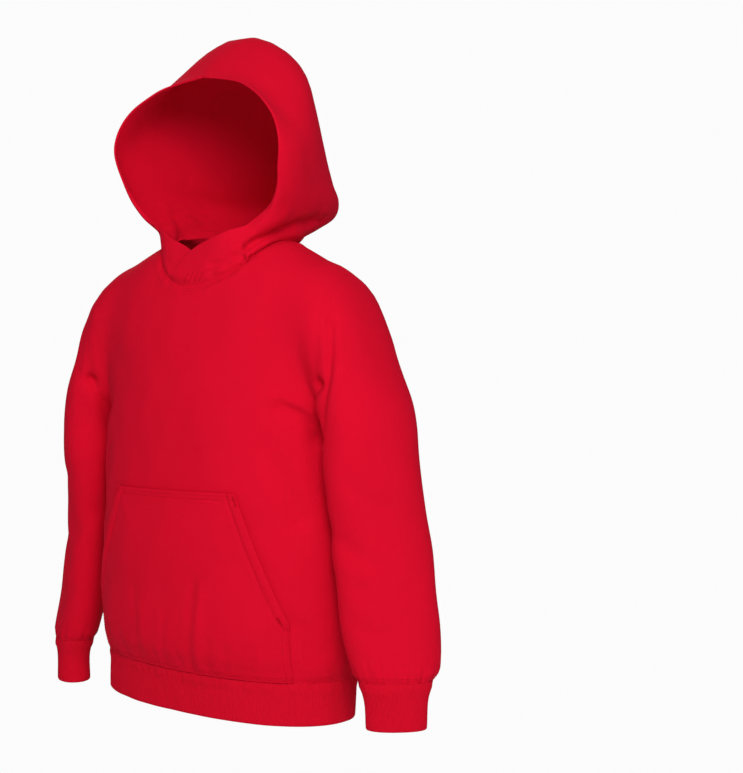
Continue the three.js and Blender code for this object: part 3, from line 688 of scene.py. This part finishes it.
def clothMaterial(name, values):
    material = bpy.data.materials.new(name)
    material.use_nodes = True
    tree = material.node_tree
    look = addNode(tree, "ShaderNodeGroup", {
        "Colour": (*values["colour"], 1), "Mottle": values["mottle"],
        "Roughness": values["roughness"]}, node_tree=fleeceLook)
    bump = addNode(tree, "ShaderNodeBump", {
        "Distance": values["bump"], "Strength": values["bumpStrength"], "Height": look["Height"]})
    fill(tree, tree.nodes["Principled BSDF"], {
        "Base Color": look["Base Color"], "Roughness": look["Roughness"], "Normal": bump["Normal"],
        "Specular IOR Level": values["specular"], "Sheen Weight": values["sheen"],
        "Sheen Roughness": values["sheenRough"], "Sheen Tint": (*values["sheenTint"], 1)})
    return material


print("camera and light")
photoView = {"azimuth": 40, "distance": 1.9, "eye": -0.1, "metresPerPixel": 1.1 / 1000,
             "axisPixel": 231.5, "horizonPixel": 335, "width": 743, "height": 773,
             "sensor": 36, "clipEnd": 20}


def makeCamera(view):
    focal = view["distance"] / view["metresPerPixel"]
    azimuth = math.radians(view["azimuth"])
    eye = np.array([math.sin(azimuth) * view["distance"], -math.cos(azimuth) * view["distance"],
                    view["eye"]])
    yaw = math.atan((view["width"] / 2 - view["axisPixel"]) / focal)
    pitch = math.atan((view["height"] / 2 - view["horizonPixel"]) / focal)
    toward = np.array([-math.sin(azimuth), math.cos(azimuth), 0.0])
    aside = np.array([math.cos(azimuth), math.sin(azimuth), 0.0])
    level = toward * math.cos(yaw) + aside * math.sin(yaw)
    right = np.array([level[1], -level[0], 0.0])
    forward = level * math.cos(pitch) - np.array([0, 0, math.sin(pitch)])
    up = np.cross(right, forward)
    camera = bpy.data.cameras.new("camera")
    camera.sensor_fit = "HORIZONTAL"
    camera.sensor_width = view["sensor"]
    camera.lens = focal / view["width"] * view["sensor"]
    camera.clip_end = view["clipEnd"]
    holder = placed("camera", camera)
    turned = np.eye(4)
    turned[:3, 0], turned[:3, 1], turned[:3, 2], turned[:3, 3] = right, up, -forward, eye
    holder.matrix_world = Matrix(turned.tolist())
    bpy.context.scene.camera = holder


makeCamera(photoView)
bpy.context.scene.view_settings.view_transform = "Standard"

stage = {"floor": -0.62, "reach": 8, "paper": 0.93, "shown": 0.97, "air": 0.13}


def shownWhite(tree, dim, shown):
    # the camera sees an even pale backdrop, while the room lights the cloth only weakly
    background = "ShaderNodeBackground"
    kind = background if dim.bl_idname == background else "ShaderNodeEmission"
    bright = addNode(tree, kind, {"Color": (1, 1, 1, 1), "Strength": shown})
    seen = addNode(tree, "ShaderNodeLightPath")["Is Camera Ray"]
    mix = addNode(tree, "ShaderNodeMixShader", {"Fac": seen, 1: dim.outputs[0], 2: bright[0]})
    end = next(node for node in tree.nodes if node.bl_idname.startswith("ShaderNodeOutput"))
    tree.links.new(mix[0], end.inputs["Surface"])


def makeStage(sizes):
    material = bpy.data.materials.new("paper")
    material.use_nodes = True
    shader = material.node_tree.nodes["Principled BSDF"]
    fill(material.node_tree, shader, {"Base Color": (sizes["paper"],) * 3 + (1,), "Roughness": 1,
                                      "Specular IOR Level": 0})
    shownWhite(material.node_tree, shader, sizes["shown"])
    mesh = bpy.data.meshes.new("floor")
    corners = [(sizes["reach"] * x, sizes["reach"] * y, sizes["floor"])
               for x, y in ((-1, -1), (1, -1), (1, 1), (-1, 1))]
    mesh.from_pydata(corners, [], [(0, 1, 2, 3)])
    floor = placed("floor", mesh)
    floor.data.materials.append(material)
    world = bpy.data.worlds.new("studio")
    bpy.context.scene.world = world
    world.use_nodes = True
    air = world.node_tree.nodes["Background"]
    fill(world.node_tree, air, {"Color": (1, 1, 1, 1), "Strength": sizes["air"]})
    shownWhite(world.node_tree, air, sizes["shown"])


makeStage(stage)

# azimuth is measured from the front towards the wearer's left, as the camera's is
lights = [
    {"name": "key", "azimuth": 43, "height": 1.0, "away": 2.2, "size": 1.0, "watts": 36},
    {"name": "side", "azimuth": 68, "height": 0.9, "away": 2.6, "size": 1.3, "watts": 9},
    {"name": "above", "azimuth": 22, "height": 1.7, "away": 2.1, "size": 1.3, "watts": 15},
    {"name": "left", "azimuth": -35, "height": 0.6, "away": 2.8, "size": 1.5, "watts": 5},
    {"name": "behind", "azimuth": 225, "height": 1.3, "away": 2.6, "size": 1.6, "watts": 16},
]
lightAim = Vector((0, 0, -0.15))


def makeLights(table):
    for entry in table:
        light = bpy.data.lights.new(entry["name"], "AREA")
        light.shape = "DISK"
        light.size = entry["size"]
        light.energy = entry["watts"]
        turn = math.radians(entry["azimuth"])
        at = Vector((math.sin(turn) * entry["away"], -math.cos(turn) * entry["away"], entry["height"]))
        holder = placed(entry["name"], light)
        holder.location = at
        holder.rotation_euler = (lightAim - at).to_track_quat("-Z", "Y").to_euler()


makeLights(lights)

print("cloth pieces")
bodyGrid = {"underarm": 6, "shoulder": 30, "neck": 60, "lower": 110, "upper": 70}
sleeveGrid = {"cap": 56, "arm": 90}
hoodGrid = {"columns": 120, "rings": 90}
bandGrid = {"hemColumns": 1280, "hemRings": 15, "cuffColumns": 400, "cuffRings": 16}
pocketGrid = {"columns": 130, "rows": 96}

materials = {"fleece": clothMaterial("redFleece", fleece), "rib": clothMaterial("redRib", ribbing)}
redThread = clothMaterial("redThread", thread)
seam = {"dip": 0.8, "dipWidth": 2.6, "puff": 0.55, "puffAt": 7.5, "puffWidth": 4.0, "hold": 14.0,
        "pucker": 0.4, "puckerLength": 13.0, "lengths": (0.7, 1.8), "waves": 6, "waveSum": 2.4,
        "seed": 5, "flat": 0.3,
        "flatFrom": -200, "flatTo": -150, "flatOver": 40.0, "bandEase": 0.6, "bandFrom": -425,
        "bandOver": 20, "crownFrom": 90, "crownOver": 40}
sampleStep = 0.7
farthest = 60.0
anchorReach = {"over": 14.0, "within": 5.0}


def nearestOn(points, starts, ends):
    # for each point the nearest sample of many short stretches: which, how far and where
    steps = int(np.linalg.norm(ends - starts, axis=1).max() / sampleStep) + 2
    part = np.linspace(0, 1, steps, endpoint=False)[:, None, None]
    samples = (starts + (ends - starts) * part).reshape(-1, 3)
    tree = KDTree(len(samples))
    for index, sample in enumerate(samples):
        tree.insert(sample, index)
    tree.balance()
    found = [tree.find(point) for point in points]
    which = np.array([index for _, index, _ in found])
    return which % len(starts), np.array([gap for _, _, gap in found]), samples[which]


def segmentDistance(points, starts, ends):
    return np.minimum(nearestOn(points, starts, ends)[1], farthest)


def seamLift(points, gap):
    # the cloth dips into a seam, puffs up beside it and puckers a little along it
    random = np.random.default_rng(seam["seed"])
    ripple = np.zeros(len(points))
    for _ in range(seam["waves"]):
        way = random.normal(size=3)
        length = seam["puckerLength"] * random.uniform(*seam["lengths"])
        way *= 2 * math.pi / length / np.linalg.norm(way)
        ripple += np.sin(points @ way + random.uniform(0, 2 * math.pi)) / seam["waveSum"]
    puff = np.exp(-((gap - seam["puffAt"]) / seam["puffWidth"]) ** 2)
    band = ease((seam["bandFrom"] - points[:, 2]) / seam["bandOver"])
    dip = seam["dip"] * (1 - seam["bandEase"] * band) * np.exp(-(gap / seam["dipWidth"]) ** 2)
    lift = dip - puff * (seam["puff"] + seam["pucker"] * ripple)
    high = ease(span(points[:, 2], seam["flatFrom"], seam["flatTo"]))
    outer = ease((np.abs(points[:, 0]) - neckline["leftHalfWidth"]) / seam["flatOver"])
    crown = ease((points[:, 2] - seam["crownFrom"]) / seam["crownOver"])
    return lift * (1 - (1 - seam["flat"]) * (high * outer * (1 - crown) + crown))


def gathers(lines, spec):
    # short uneven puckers running in from a seam; lines start at the seam and lead inwards
    random = np.random.default_rng(spec["seed"])
    table = []
    at = random.uniform(0, spec["spacing"])
    along = lengthAlong(lines[:, 0])
    while at < along[-1]:
        line = lines[int(np.searchsorted(along, at))]
        stop = max(int(np.searchsorted(lengthAlong(line), random.uniform(*spec["length"]))), 2)
        picks = line[np.linspace(0, min(stop, len(line) - 1), 4).astype(int)]
        table.append((random.uniform(*spec["width"]), random.uniform(*spec["depth"]), *picks))
        at += spec["spacing"] * random.uniform(*gather["uneven"])
    return table


seams, moved, facing = {}, {}, {}


def clothPiece(name, points, inside, free=None, round=False, used=None, creases=(), calm=0.0,
               shape=None, thin=None, anchor=None):
    # a grid's skin, creased and slackened, with dips at its seams, made into a closed shell.
    # free marks the open edges; shape adds its own lift; thin is the share of thickness lost;
    # anchor is the neighbour's edge, as points and normals, that the sewn edge is pulled onto
    part = name.split("_")[0]
    kind = "rib" if part in ("cuff", "hem") else "fleece"
    used = np.ones(points.shape[:2], bool) if used is None else used
    skin, quads, normals, number = gridQuads(points, inside, round, used)
    freeEdge = np.zeros(len(skin), bool) if free is None else free[used]
    edges = openEdgesOf(quads, len(skin))
    sewn = edges[~freeEdge[edges].all(axis=1)]
    seams[name] = (skin[sewn[:, 0]], skin[sewn[:, 1]])
    gap = segmentDistance(skin, *seams[name])
    lift = creaseLift(skin, creases) * (ease(gap / calm) if calm else 1)
    if shape is None:
        lift += seamLift(skin, gap) + slackness(skin) * ease(gap / seam["hold"])
    else:
        lift += shape(skin)
    skin = skin - normals * lift[:, None]
    normals = skinNormals(skin, quads)
    if anchor is not None:
        start = skin[sewn[:, 0]]
        which, miss, place = nearestOn(start, anchor[0][:-1], anchor[0][1:])
        near = nearestOn(skin, start, start)[0]
        close = (miss < anchorReach["within"])[:, None]
        hold = (1 - ease(gap / anchorReach["over"]))[:, None]
        skin = skin + ((place - start) * close)[near] * hold
        sure = hold ** 2 * close[near]
        normals = unit(normals * (1 - sure) + anchor[1][:-1][which][near] * sure)
    moved[name], facing[name] = np.zeros(points.shape), np.zeros(points.shape)
    moved[name][used], facing[name][used] = skin, normals
    depth = np.full(len(skin), cloth[kind])
    if thin is not None:
        depth *= 1 - thin[used]
    piece = closedShell(name + "_cloth", skin, quads, normals, depth, freeEdge)
    piece.data.materials.append(materials[kind])
    if kind == "rib":
        ribbed(piece, number.shape)
    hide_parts(name)
    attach(piece, "root")
    print(name, "of", len(piece.data.polygons) * 2, "triangles")


ribs = {"depth": 0.45, "columnsEach": 4, "fade": 0.1, "lowEdge": 0.5}


def meshGroup(name, *inputs):
    inputs = [("Geometry", "Geometry", None), *inputs, ("Material", "Material", None)]
    return nodeGroup(name, "Geometry", inputs, [("Geometry", "Geometry")])


def painted(tree, shape, start, end):
    # the last nodes of every tree that makes a mesh
    whole = addNode(tree, "GeometryNodeRealizeInstances", {0: shape})
    paint = addNode(tree, "GeometryNodeSetMaterial", {"Geometry": whole[0], "Material": start["Material"]})
    tree.links.new(paint[0], end["Geometry"])
    return tree


def ribTree():
    # the outer face rises and falls by a wave that runs round the band
    tree, start, end = meshGroup("ribKnit", ("Rib Count", "Int", None), ("Rib Depth", "Float", None))
    around, face = [
        addNode(tree, "GeometryNodeInputNamedAttribute", {"Name": label}, data_type="FLOAT")["Attribute"]
        for label in ("around", "face")]
    turns = maths(tree, "MULTIPLY", around, start["Rib Count"])
    wave = maths(tree, "COSINE", maths(tree, "MULTIPLY", turns, 2 * math.pi))
    height = maths(tree, "MULTIPLY", maths(tree, "MULTIPLY", wave, start["Rib Depth"]), face)
    normal = addNode(tree, "GeometryNodeInputNormal")["Normal"]
    rise = addNode(tree, "ShaderNodeVectorMath", {0: normal, "Scale": height}, operation="SCALE")
    move = addNode(tree, "GeometryNodeSetPosition", {"Geometry": start["Geometry"], "Offset": rise[0]})
    return painted(tree, move[0], start, end)


def grow(piece, tree, values):
    # runs a tree on a piece and keeps the result as its plain mesh
    modifier = piece.modifiers.new(tree.name, "NODES")
    modifier.node_group = tree
    for item in tree.interface.items_tree:
        if item.item_type == "SOCKET" and item.in_out == "INPUT" and item.name in values:
            modifier[item.identifier] = values[item.name]
    view = bpy.context.evaluated_depsgraph_get()
    mesh = bpy.data.meshes.new_from_object(piece.evaluated_get(view))
    piece.modifiers.clear()
    piece.data = mesh


ribKnit = ribTree()


def ribbed(piece, shape):
    # around runs once round the band; face is full on the outer face and fades at both edges
    rows, columns = shape
    around, face = np.zeros((2, len(piece.data.vertices)))
    level = np.repeat(np.linspace(0, 1, rows), columns)
    low = ease((level - 1 + ribs["fade"]) / ribs["fade"])
    around[:level.size] = np.tile(np.arange(columns) / columns, rows)
    face[:level.size] = ease(level / ribs["fade"]) * (1 - ribs["lowEdge"] * low)
    for label, values in (("around", around), ("face", face)):
        layer = piece.data.attributes.new(label, "FLOAT", "POINT")
        layer.data.foreach_set("value", values)
    grow(piece, ribKnit, {"Rib Count": columns // ribs["columnsEach"],
                          "Rib Depth": ribs["depth"] * metre / 2, "Material": materials["rib"]})


# creases: width, depth (a ridge has a negative one) and the points of its path
bodyCreases = [
    (4.2, 4.6, (119, -65, -172), (135, -50, -181), (140, -40, -192), (146, -31, -206)),
    (6.0, -2.4, (114, -72, -166), (132, -56, -172), (142, -44, -181)),
    (4.4, 4.6, (171, -48, -87), (176, -54, -115), (176, -58, -139), (172, -58, -165), (163, -51, -205)),
    (9.0, -1.4, (182, -52, -100), (188, -56, -140), (186, -56, -175)),
    (7.0, -2.2, (160, -54, -158), (156, -48, -180)),
    (8.0, 4.0, (150, -42, -208), (152, -42, -232), (157, -42, -262)),
    (11.0, 1.7, (108, -76, -213), (121, -67, -249), (137, -55, -290)),
    (7.0, -1.2, (148, -42, -240), (149, -40, -291)),
    (4.5, 1.2, (131, -64, -436), (128, -68, -408), (132, -60, -380)),
    (4.5, 1.4, (144, -47, -437), (142, -50, -402)),
    (17.0, 0.9, (104, -68, -104), (62, -88, -140)),
    (15.0, 0.9, (-104, -66, -118), (-60, -88, -165)),
    (4.5, 1.7, (-119, -65, -174), (-134, -50, -184), (-146, -31, -202)),
    (6.0, 1.5, (-171, -48, -90), (-176, -57, -140), (-166, -51, -200)),
    (11.0, 1.5, (-112, -74, -220), (-130, -60, -275)),
    (10.0, 1.1, (-126, -70, -300), (-110, -82, -345)),
    (9.0, 2.0, (140, 46, -150), (112, 70, -190), (95, 80, -235)),
    (10.0, 2.2, (-140, 46, -150), (-108, 72, -185), (-80, 84, -215)),
    (14.0, 1.4, (60, 86, -60), (40, 90, -110), (52, 90, -170)),
    (16.0, 1.2, (-30, 86, -70), (-44, 90, -140)),
    (12.0, 2.0, (120, 60, -330), (60, 84, -372), (10, 89, -384)),
    (11.0, 1.8, (-130, 55, -300), (-90, 76, -345), (-30, 88, -368)),
    (10.0, 1.6, (196, -52, -250), (214, -40, -268), (228, -29, -276)),
    (11.0, 1.5, (188, -49, -308), (212, -38, -330), (232, -26, -336)),
    (9.0, 1.4, (198, -50, -388), (216, -45, -402), (242, -30, -398)),
    (9.0, -1.0, (212, -43, -350), (236, -26, -366)),
    (10.0, 1.5, (-196, -52, -256), (-216, -40, -262)),
    (11.0, 1.7, (-190, -49, -322), (-214, -38, -338), (-230, -28, -330)),
    (9.0, 1.3, (-200, -48, -392), (-226, -40, -406)),
    (11.0, 2.0, (212, 18, -260), (196, 34, -282), (180, 30, -300)),
    (10.0, 1.7, (222, 12, -340), (206, 24, -362), (190, 20, -372)),
    (11.0, 2.0, (-210, 20, -268), (-192, 34, -296)),
    (10.0, 1.5, (-224, 12, -352), (-204, 24, -366)),
]
pocketCreases = [
    (6.4, 0.8, (-47, -105, -372), (-45, -103, -414), (-50, -95, -447)),
    (6.5, -0.6, (-36, -107, -392), (-39, -104, -447)),
    (5.5, 1.0, (0, -107, -392), (-7, -104, -418), (-10, -100, -447)),
    (6.5, 1.3, (37, -106, -356), (33, -105, -396), (26, -99, -447)),
    (6.0, -1.4, (46, -106, -362), (41, -104, -404), (36, -100, -447)),
    (4.6, 1.1, (54, -102, -418), (47, -97, -447)),
    (4.6, 1.1, (74, -98, -424), (67, -93, -447)),
    (4.4, 1.0, (99, -89, -426), (94, -84, -449)),
    (5.2, 1.0, (-80, -98, -418), (-74, -90, -447)),
    (4.6, 0.9, (-104, -86, -424), (-100, -80, -447)),
    (3.8, 0.8, (-26, -104, -432), (-22, -100, -447)),
    (3.8, 0.8, (10, -105, -430), (13, -100, -447)),
    (12.0, 0.8, (112, -84, -380), (92, -96, -346), (60, -104, -330)),
]
hoodCreases = [
    (4.2, 2.2, (32, -73, -26), (46, -70, -24), (58, -62, -17)),
    (5.8, 5.4, (67, -52, -8), (73, -42, 0), (81, -26, 9), (90, 4, 20), (84, 55, 25)),
    (8.0, -2.0, (60, -66, -10), (78, -52, 8), (96, -28, 28)),
    (12.0, 1.0, (104, 40, 46), (112, 10, 60), (116, -14, 84)),
    (3.0, -0.7, (60, 96, 140), (74, 92, 100), (88, 92, 62)),
    (6.0, 2.2, (-62, -52, -14), (-74, -28, 6), (-84, 0, 16), (-80, 55, 24)),
    (6.0, 2.4, (-100, 8, 46), (-74, -12, 14), (-40, -46, -10)),
    (5.0, -1.4, (-84, 6, 30), (-56, -26, 2), (-20, -58, -22)),
    (6.0, 2.0, (-95, 50, 75), (-85, 70, 60), (-70, 90, 50)),
    (5.0, -1.8, (-80, 75, 46), (-62, 98, 38), (-48, 110, 34)),
    (5.0, 1.8, (-90, 40, 40), (-76, 70, 32), (-58, 92, 28)),
    (3.5, 1.6, (-45, 59, 171), (-50, 68, 134), (-57, 80, 88)),
    (9.0, 1.8, (-10, 110, 60), (10, 118, 44), (40, 112, 40)),
    (12.0, 1.4, (30, 96, 120), (18, 104, 84)),
]
gather = {
    "uneven": (0.45, 1.7),
    "hem": {"seed": 11, "spacing": 17.0, "length": (9, 30), "width": (1.8, 3.4), "depth": (0.4, 1.0)},
    "cuff": {"seed": 12, "spacing": 9.0, "length": (7, 24), "width": (1.6, 3.0), "depth": (0.5, 1.2)},
    "neck": {"seed": 13, "spacing": 15.0, "length": (5, 15), "width": (1.6, 2.8), "depth": (0.25, 0.6)},
}

grids = {}
edgeColumns = bodyGrid["underarm"] + bodyGrid["shoulder"]
neckRange = slice(edgeColumns, -edgeColumns)
for name, face in (("front", -1), ("back", 1)):
    grids[name], used = bodySkin(face, bodyGrid)
    lines = grids[name].transpose(1, 0, 2)
    creases = bodyCreases + gathers(lines, gather["hem"])
    creases += gathers(lines[neckRange, ::-1], gather["neck"])
    clothPiece(name, grids[name], torsoInside, used=used, creases=creases)


def lastRow(points):
    free = np.zeros(points.shape[:2], bool)
    free[-1] = True
    return free


bandLap = 0.05
sleevePoints = capPoints(armholeLoop(grids["front"], grids["back"], bodyGrid), sleeveGrid)
cuffPoints = bandPoints(sleeve, sleeveField, heights["cuffSeam"] - bandLap, heights["cuffBottom"],
                        bandGrid["cuffColumns"], bandGrid["cuffRings"])
for side, word in ((1, "left"), (-1, "right")):
    flip = np.array([side, 1, 1])
    # the body's armhole edge and its normals, which the sleeve's edge is pulled onto
    edge, way = [
        armholeLoop(*[layer[face][:, ::side] * flip for face in ("front", "back")], bodyGrid) * flip
        for layer in (moved, facing)]
    joined = (np.concatenate([edge, edge[:1]]), unit(np.concatenate([way, way[:1]])))
    spec = dict(gather["cuff"], seed=gather["cuff"]["seed"] + side)
    points = sleevePoints * flip
    clothPiece("sleeve_" + word, points, sleeveInside(side), round=True, anchor=joined,
               creases=bodyCreases + gathers(points[::-1].transpose(1, 0, 2), spec))
    points = cuffPoints * flip
    spec = dict(spec, length=(4, 12), depth=(0.2, 0.5))
    clothPiece("cuff_" + word, points, sleeveInside(side), round=True, free=lastRow(points),
               creases=gathers(points.transpose(1, 0, 2), spec))

points = tilted(bandPoints(torso, torsoField, heights["hemSeam"] - bandLap, heights["hemBottom"],
                           bandGrid["hemColumns"], bandGrid["hemRings"]))
spec = dict(gather["hem"], seed=21, length=(5, 16), depth=(0.2, 0.6))
clothPiece("hem_band", points, torsoInside, round=True, free=lastRow(points),
           creases=gathers(points.transpose(1, 0, 2), spec))

# the body's neckline, all the way round
neckEdge = [np.concatenate([layer["front"][-1, neckRange], layer["back"][-1, neckRange][::-1]])
            for layer in (moved, facing)]
neckEdge[1] = unit(neckEdge[1])
flapRise = {"reach": 0.3, "by": (0, 2.5, 8.0)}
hoodPinch = {"over": 10.0, "left": 1.7, "right": 1.3, "thinned": 0.5, "calm": 3.0}
for side, word in ((1, "left"), (-1, "right")):
    points = hoodPoints(side, crossing["lift"] if side > 0 else 0.0, hoodGrid)
    share = np.linspace(0, 1, points.shape[1])
    rise = np.sin(math.pi * np.clip(share / flapRise["reach"], 0, 1))
    rise = rise * np.linspace(0, 1, len(points))[:, None] ** 2
    points = points + rise[..., None] * np.array(flapRise["by"])
    rimEdge = lastRow(points)
    rimEdge[1:, 0] = True
    # where the panels cross, both are pinched into the neck seam
    pinch = (1 - ease(lengthAlong(points) / hoodPinch["over"])) * crossedShare(share)
    points = points - slope(torsoForm, points[0]) * (pinch * hoodPinch[word])[..., None]
    clothPiece("hood_" + word, points, hoodInside, free=rimEdge, creases=hoodCreases,
               calm=hoodPinch["calm"], thin=pinch * hoodPinch["thinned"], anchor=neckEdge)

sewing = {"mouthBand": 9.5, "bandRise": 0.8, "bandEdge": 3, "lineDip": 0.7, "lineWidth": 1.5,
          "topLine": 6.5, "fill": 2.6, "fillFrom": 12.0, "fillTo": 45.0, "fillHem": 40,
          "hemPinch": 2.0, "hemReach": 5.0, "hemThin": 0.6, "sidePress": 1.5, "sideReach": 7.0,
          "sideFade": 10.0, "sideThin": 0.55}
points = pocketPoints(pocketGrid)
mouthCorner = tilted(np.array([-pocket["halfWidth"], 0.0, pocket["mouthBottom"]]))
mouthRows = points[:, 0, 2] > mouthCorner[2]


def fadeOut(gap, reach):
    return np.exp(-(gap / reach) ** 2)


def sidePress(gap, z):
    # the sewn sides below the mouths are pressed flat
    low = ease((pocket["mouthBottom"] - z) / sewing["sideFade"])
    return fadeOut(gap, sewing["sideReach"]) * low


def pocketShape(skin):
    # follows the front's slackness; turned-in edges with a stitched line; cloth fills out inside
    gap = segmentDistance(skin, *seams["front"])
    mouthGap = np.minimum(*[pathDistance(skin, points[mouthRows][:, end]) for end in (0, -1)])
    sideGap = np.minimum(*[pathDistance(skin, points[:, end], farthest) for end in (0, -1)])
    innerGap = np.minimum(sideGap, segmentDistance(skin, points[-1][:-1], points[-1][1:]))
    hemGap = segmentDistance(skin, points[0][:-1], points[0][1:])
    inBand = ease((mouthGap - sewing["mouthBand"] + sewing["bandEdge"]) / sewing["bandEdge"])
    lift = slackness(skin) * ease(gap / seam["hold"]) - sewing["bandRise"] * (1 - inBand)
    topGap = pathDistance(skin, points[-1])
    for away in (mouthGap - sewing["mouthBand"], topGap - sewing["topLine"]):
        lift += sewing["lineDip"] * fadeOut(away, sewing["lineWidth"])
    filled = ease(span(innerGap, sewing["fillFrom"], sewing["fillTo"]))
    lift -= sewing["fill"] * filled * ease(hemGap / sewing["fillHem"])
    lift += sewing["sidePress"] * sidePress(sideGap, skin[:, 2])
    return lift + sewing["hemPinch"] * fadeOut(hemGap, sewing["hemReach"])


rimEdge = np.ones(points.shape[:2], bool)
rimEdge[0] = False
sideGap = np.minimum(*[np.linalg.norm(points - points[:, [end]], axis=2) for end in (0, -1)])
hemThin = fadeOut(points[..., 2] - points[:1, :, 2], sewing["hemReach"])
clothPiece("pocket", points, torsoInside, free=rimEdge, creases=pocketCreases, shape=pocketShape,
           thin=np.maximum(sewing["hemThin"] * hemThin,
                           sewing["sideThin"] * sidePress(sideGap, points[..., 2])))

print("stitching")
stitch = {"length": 2.7, "gap": 0.7, "width": 0.62, "height": 0.12}
tack = {"length": 1.5, "gap": -0.3, "width": 1.15, "height": 0.25, "points": 6}


def stitchTree():
    # a small thread-coloured bead at even steps along each path
    tree, start, end = meshGroup("stitchRun", *[
        (label, "Float", None) for label in ("Stitch Length", "Gap", "Thread Width")])
    curve = addNode(tree, "GeometryNodeMeshToCurve", {"Mesh": start["Geometry"]})
    step = maths(tree, "ADD", start["Stitch Length"], start["Gap"])
    even = addNode(tree, "GeometryNodeResampleCurve", {"Curve": curve[0], "Length": step}, mode="LENGTH")
    bead = addNode(tree, "GeometryNodeMeshIcoSphere", {"Radius": 0.5, "Subdivisions": 1})
    smooth = addNode(tree, "GeometryNodeSetShadeSmooth", {"Geometry": bead["Mesh"]})
    size = addNode(tree, "ShaderNodeCombineXYZ", {
        "X": start["Thread Width"], "Y": start["Thread Width"], "Z": start["Stitch Length"]})
    tangent = addNode(tree, "GeometryNodeInputTangent")[0]
    turn = addNode(tree, "FunctionNodeAlignRotationToVector", {"Vector": tangent}, axis="Z")
    place = addNode(tree, "GeometryNodeInstanceOnPoints", {
        "Points": even[0], "Instance": smooth[0], "Rotation": turn[0], "Scale": size[0]})
    return painted(tree, place[0], start, end)


stitchRun = stitchTree()


def stitchPiece(name, paths, spec):
    mesh = bpy.data.meshes.new(name)
    edges = []
    first = 0
    for path in paths:
        edges += [(first + step, first + step + 1) for step in range(len(path) - 1)]
        first += len(path)
    mesh.from_pydata((np.concatenate(paths) * metre).tolist(), edges, [])
    piece = placed(name, mesh)
    grow(piece, stitchRun, {"Stitch Length": spec["length"] * metre, "Gap": spec["gap"] * metre,
                            "Thread Width": spec["width"] * metre, "Material": redThread})
    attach(piece, "root")
    print(name, "of", len(piece.data.polygons), "faces")


def runsIn(name, rows, columns, distances, sideways=False):
    # stitch lines at distances along the grid lines that lead in from an edge
    layers = [layer[name][rows, columns] for layer in (moved, facing)]
    lines, normals = layers if sideways else [layer.transpose(1, 0, 2) for layer in layers]
    runs = []
    for distance in distances:
        path = []
        for line, normal in zip(lines, normals):
            along = lengthAlong(line)
            index = min(int(np.searchsorted(along, distance)), len(line) - 1)
            share = (distance - along[index - 1]) / max(along[index] - along[index - 1], 1e-6)
            path.append(blend(line[index - 1], line[index], share) + normal[index] * stitch["height"])
        runs.append(np.array(path))
    return runs


# distances from the seam or edge to each line of stitches
stitchedAt = {"neck": (2.2, 5.0), "hem": (3.0, 5.8), "cuff": (2.8, 5.6),
              "edge": (1.8, sewing["topLine"]), "mouth": (sewing["mouthBand"],)}
besidePocket = 2
whole, back = slice(None), slice(None, None, -1)
runs = []
for name in ("front", "back"):
    runs += runsIn(name, back, neckRange, stitchedAt["neck"])
    hemX = np.abs(moved[name][0, :, 0])
    shown = np.flatnonzero((hemX > pocket["halfWidth"] + besidePocket) | (name == "back"))
    for part in np.split(shown, np.flatnonzero(np.diff(shown) > 1) + 1):
        runs += runsIn(name, whole, part, stitchedAt["hem"])
stitchPiece("body_stitching", runs, stitch)

runs = runsIn("pocket", back, whole, stitchedAt["edge"]) + runsIn("pocket", whole, whole, stitchedAt["hem"])
for columns in (whole, back):
    runs += runsIn("pocket", mouthRows, columns, stitchedAt["mouth"], True)
    runs += runsIn("pocket", ~mouthRows, columns, stitchedAt["edge"], True)
stitchPiece("pocket_stitching", runs, stitch)

runs = [run for word in ("left", "right")
        for run in runsIn("sleeve_" + word, back, whole, stitchedAt["cuff"])]
stitchPiece("cuff_stitching", runs, stitch)


def onSkin(path, name, height):
    # lays a path on the nearest cloth of a piece
    skin, normal = moved[name].reshape(-1, 3), facing[name].reshape(-1, 3)
    result = []
    for point in path:
        near = int(np.argmin(np.sum((skin - point) ** 2, axis=1)))
        result.append(point + normal[near] * ((skin[near] - point) @ normal[near] + height))
    return np.array(result)


# bar-tacks: the piece they lie on, a stroke's start and end, the step to the next, how many and
# whether the other side has the same
tacks = [
    ("hood_left", (-2, -76, -44), (3, -76, -34), (6.5, 0.6, 0.3), 4, False),
    ("pocket", (80.5, -97, -266), (84.5, -96, -276), (1.0, 0.4, 0.6), 2, True),
    ("pocket", (124, -78, -390), (129, -76, -399), (1.0, 0.5, 0.4), 2, True),
    ("front", (82, -6, 2), (88, -12, -2), (0.6, -1.2, -0.4), 2, False),
]
runs = []
for name, start, end, step, count, bothSides in tacks:
    for side in (1, -1) if bothSides else (1,):
        for index in range(count):
            first, last = [(np.array(place) + np.array(step) * index) * (side, 1, 1)
                           for place in (start, end)]
            path = np.linspace(first, last, tack["points"])
            runs.append(onSkin(path, name, tack["height"]))
stitchPiece("bar_tacks", runs, tack)
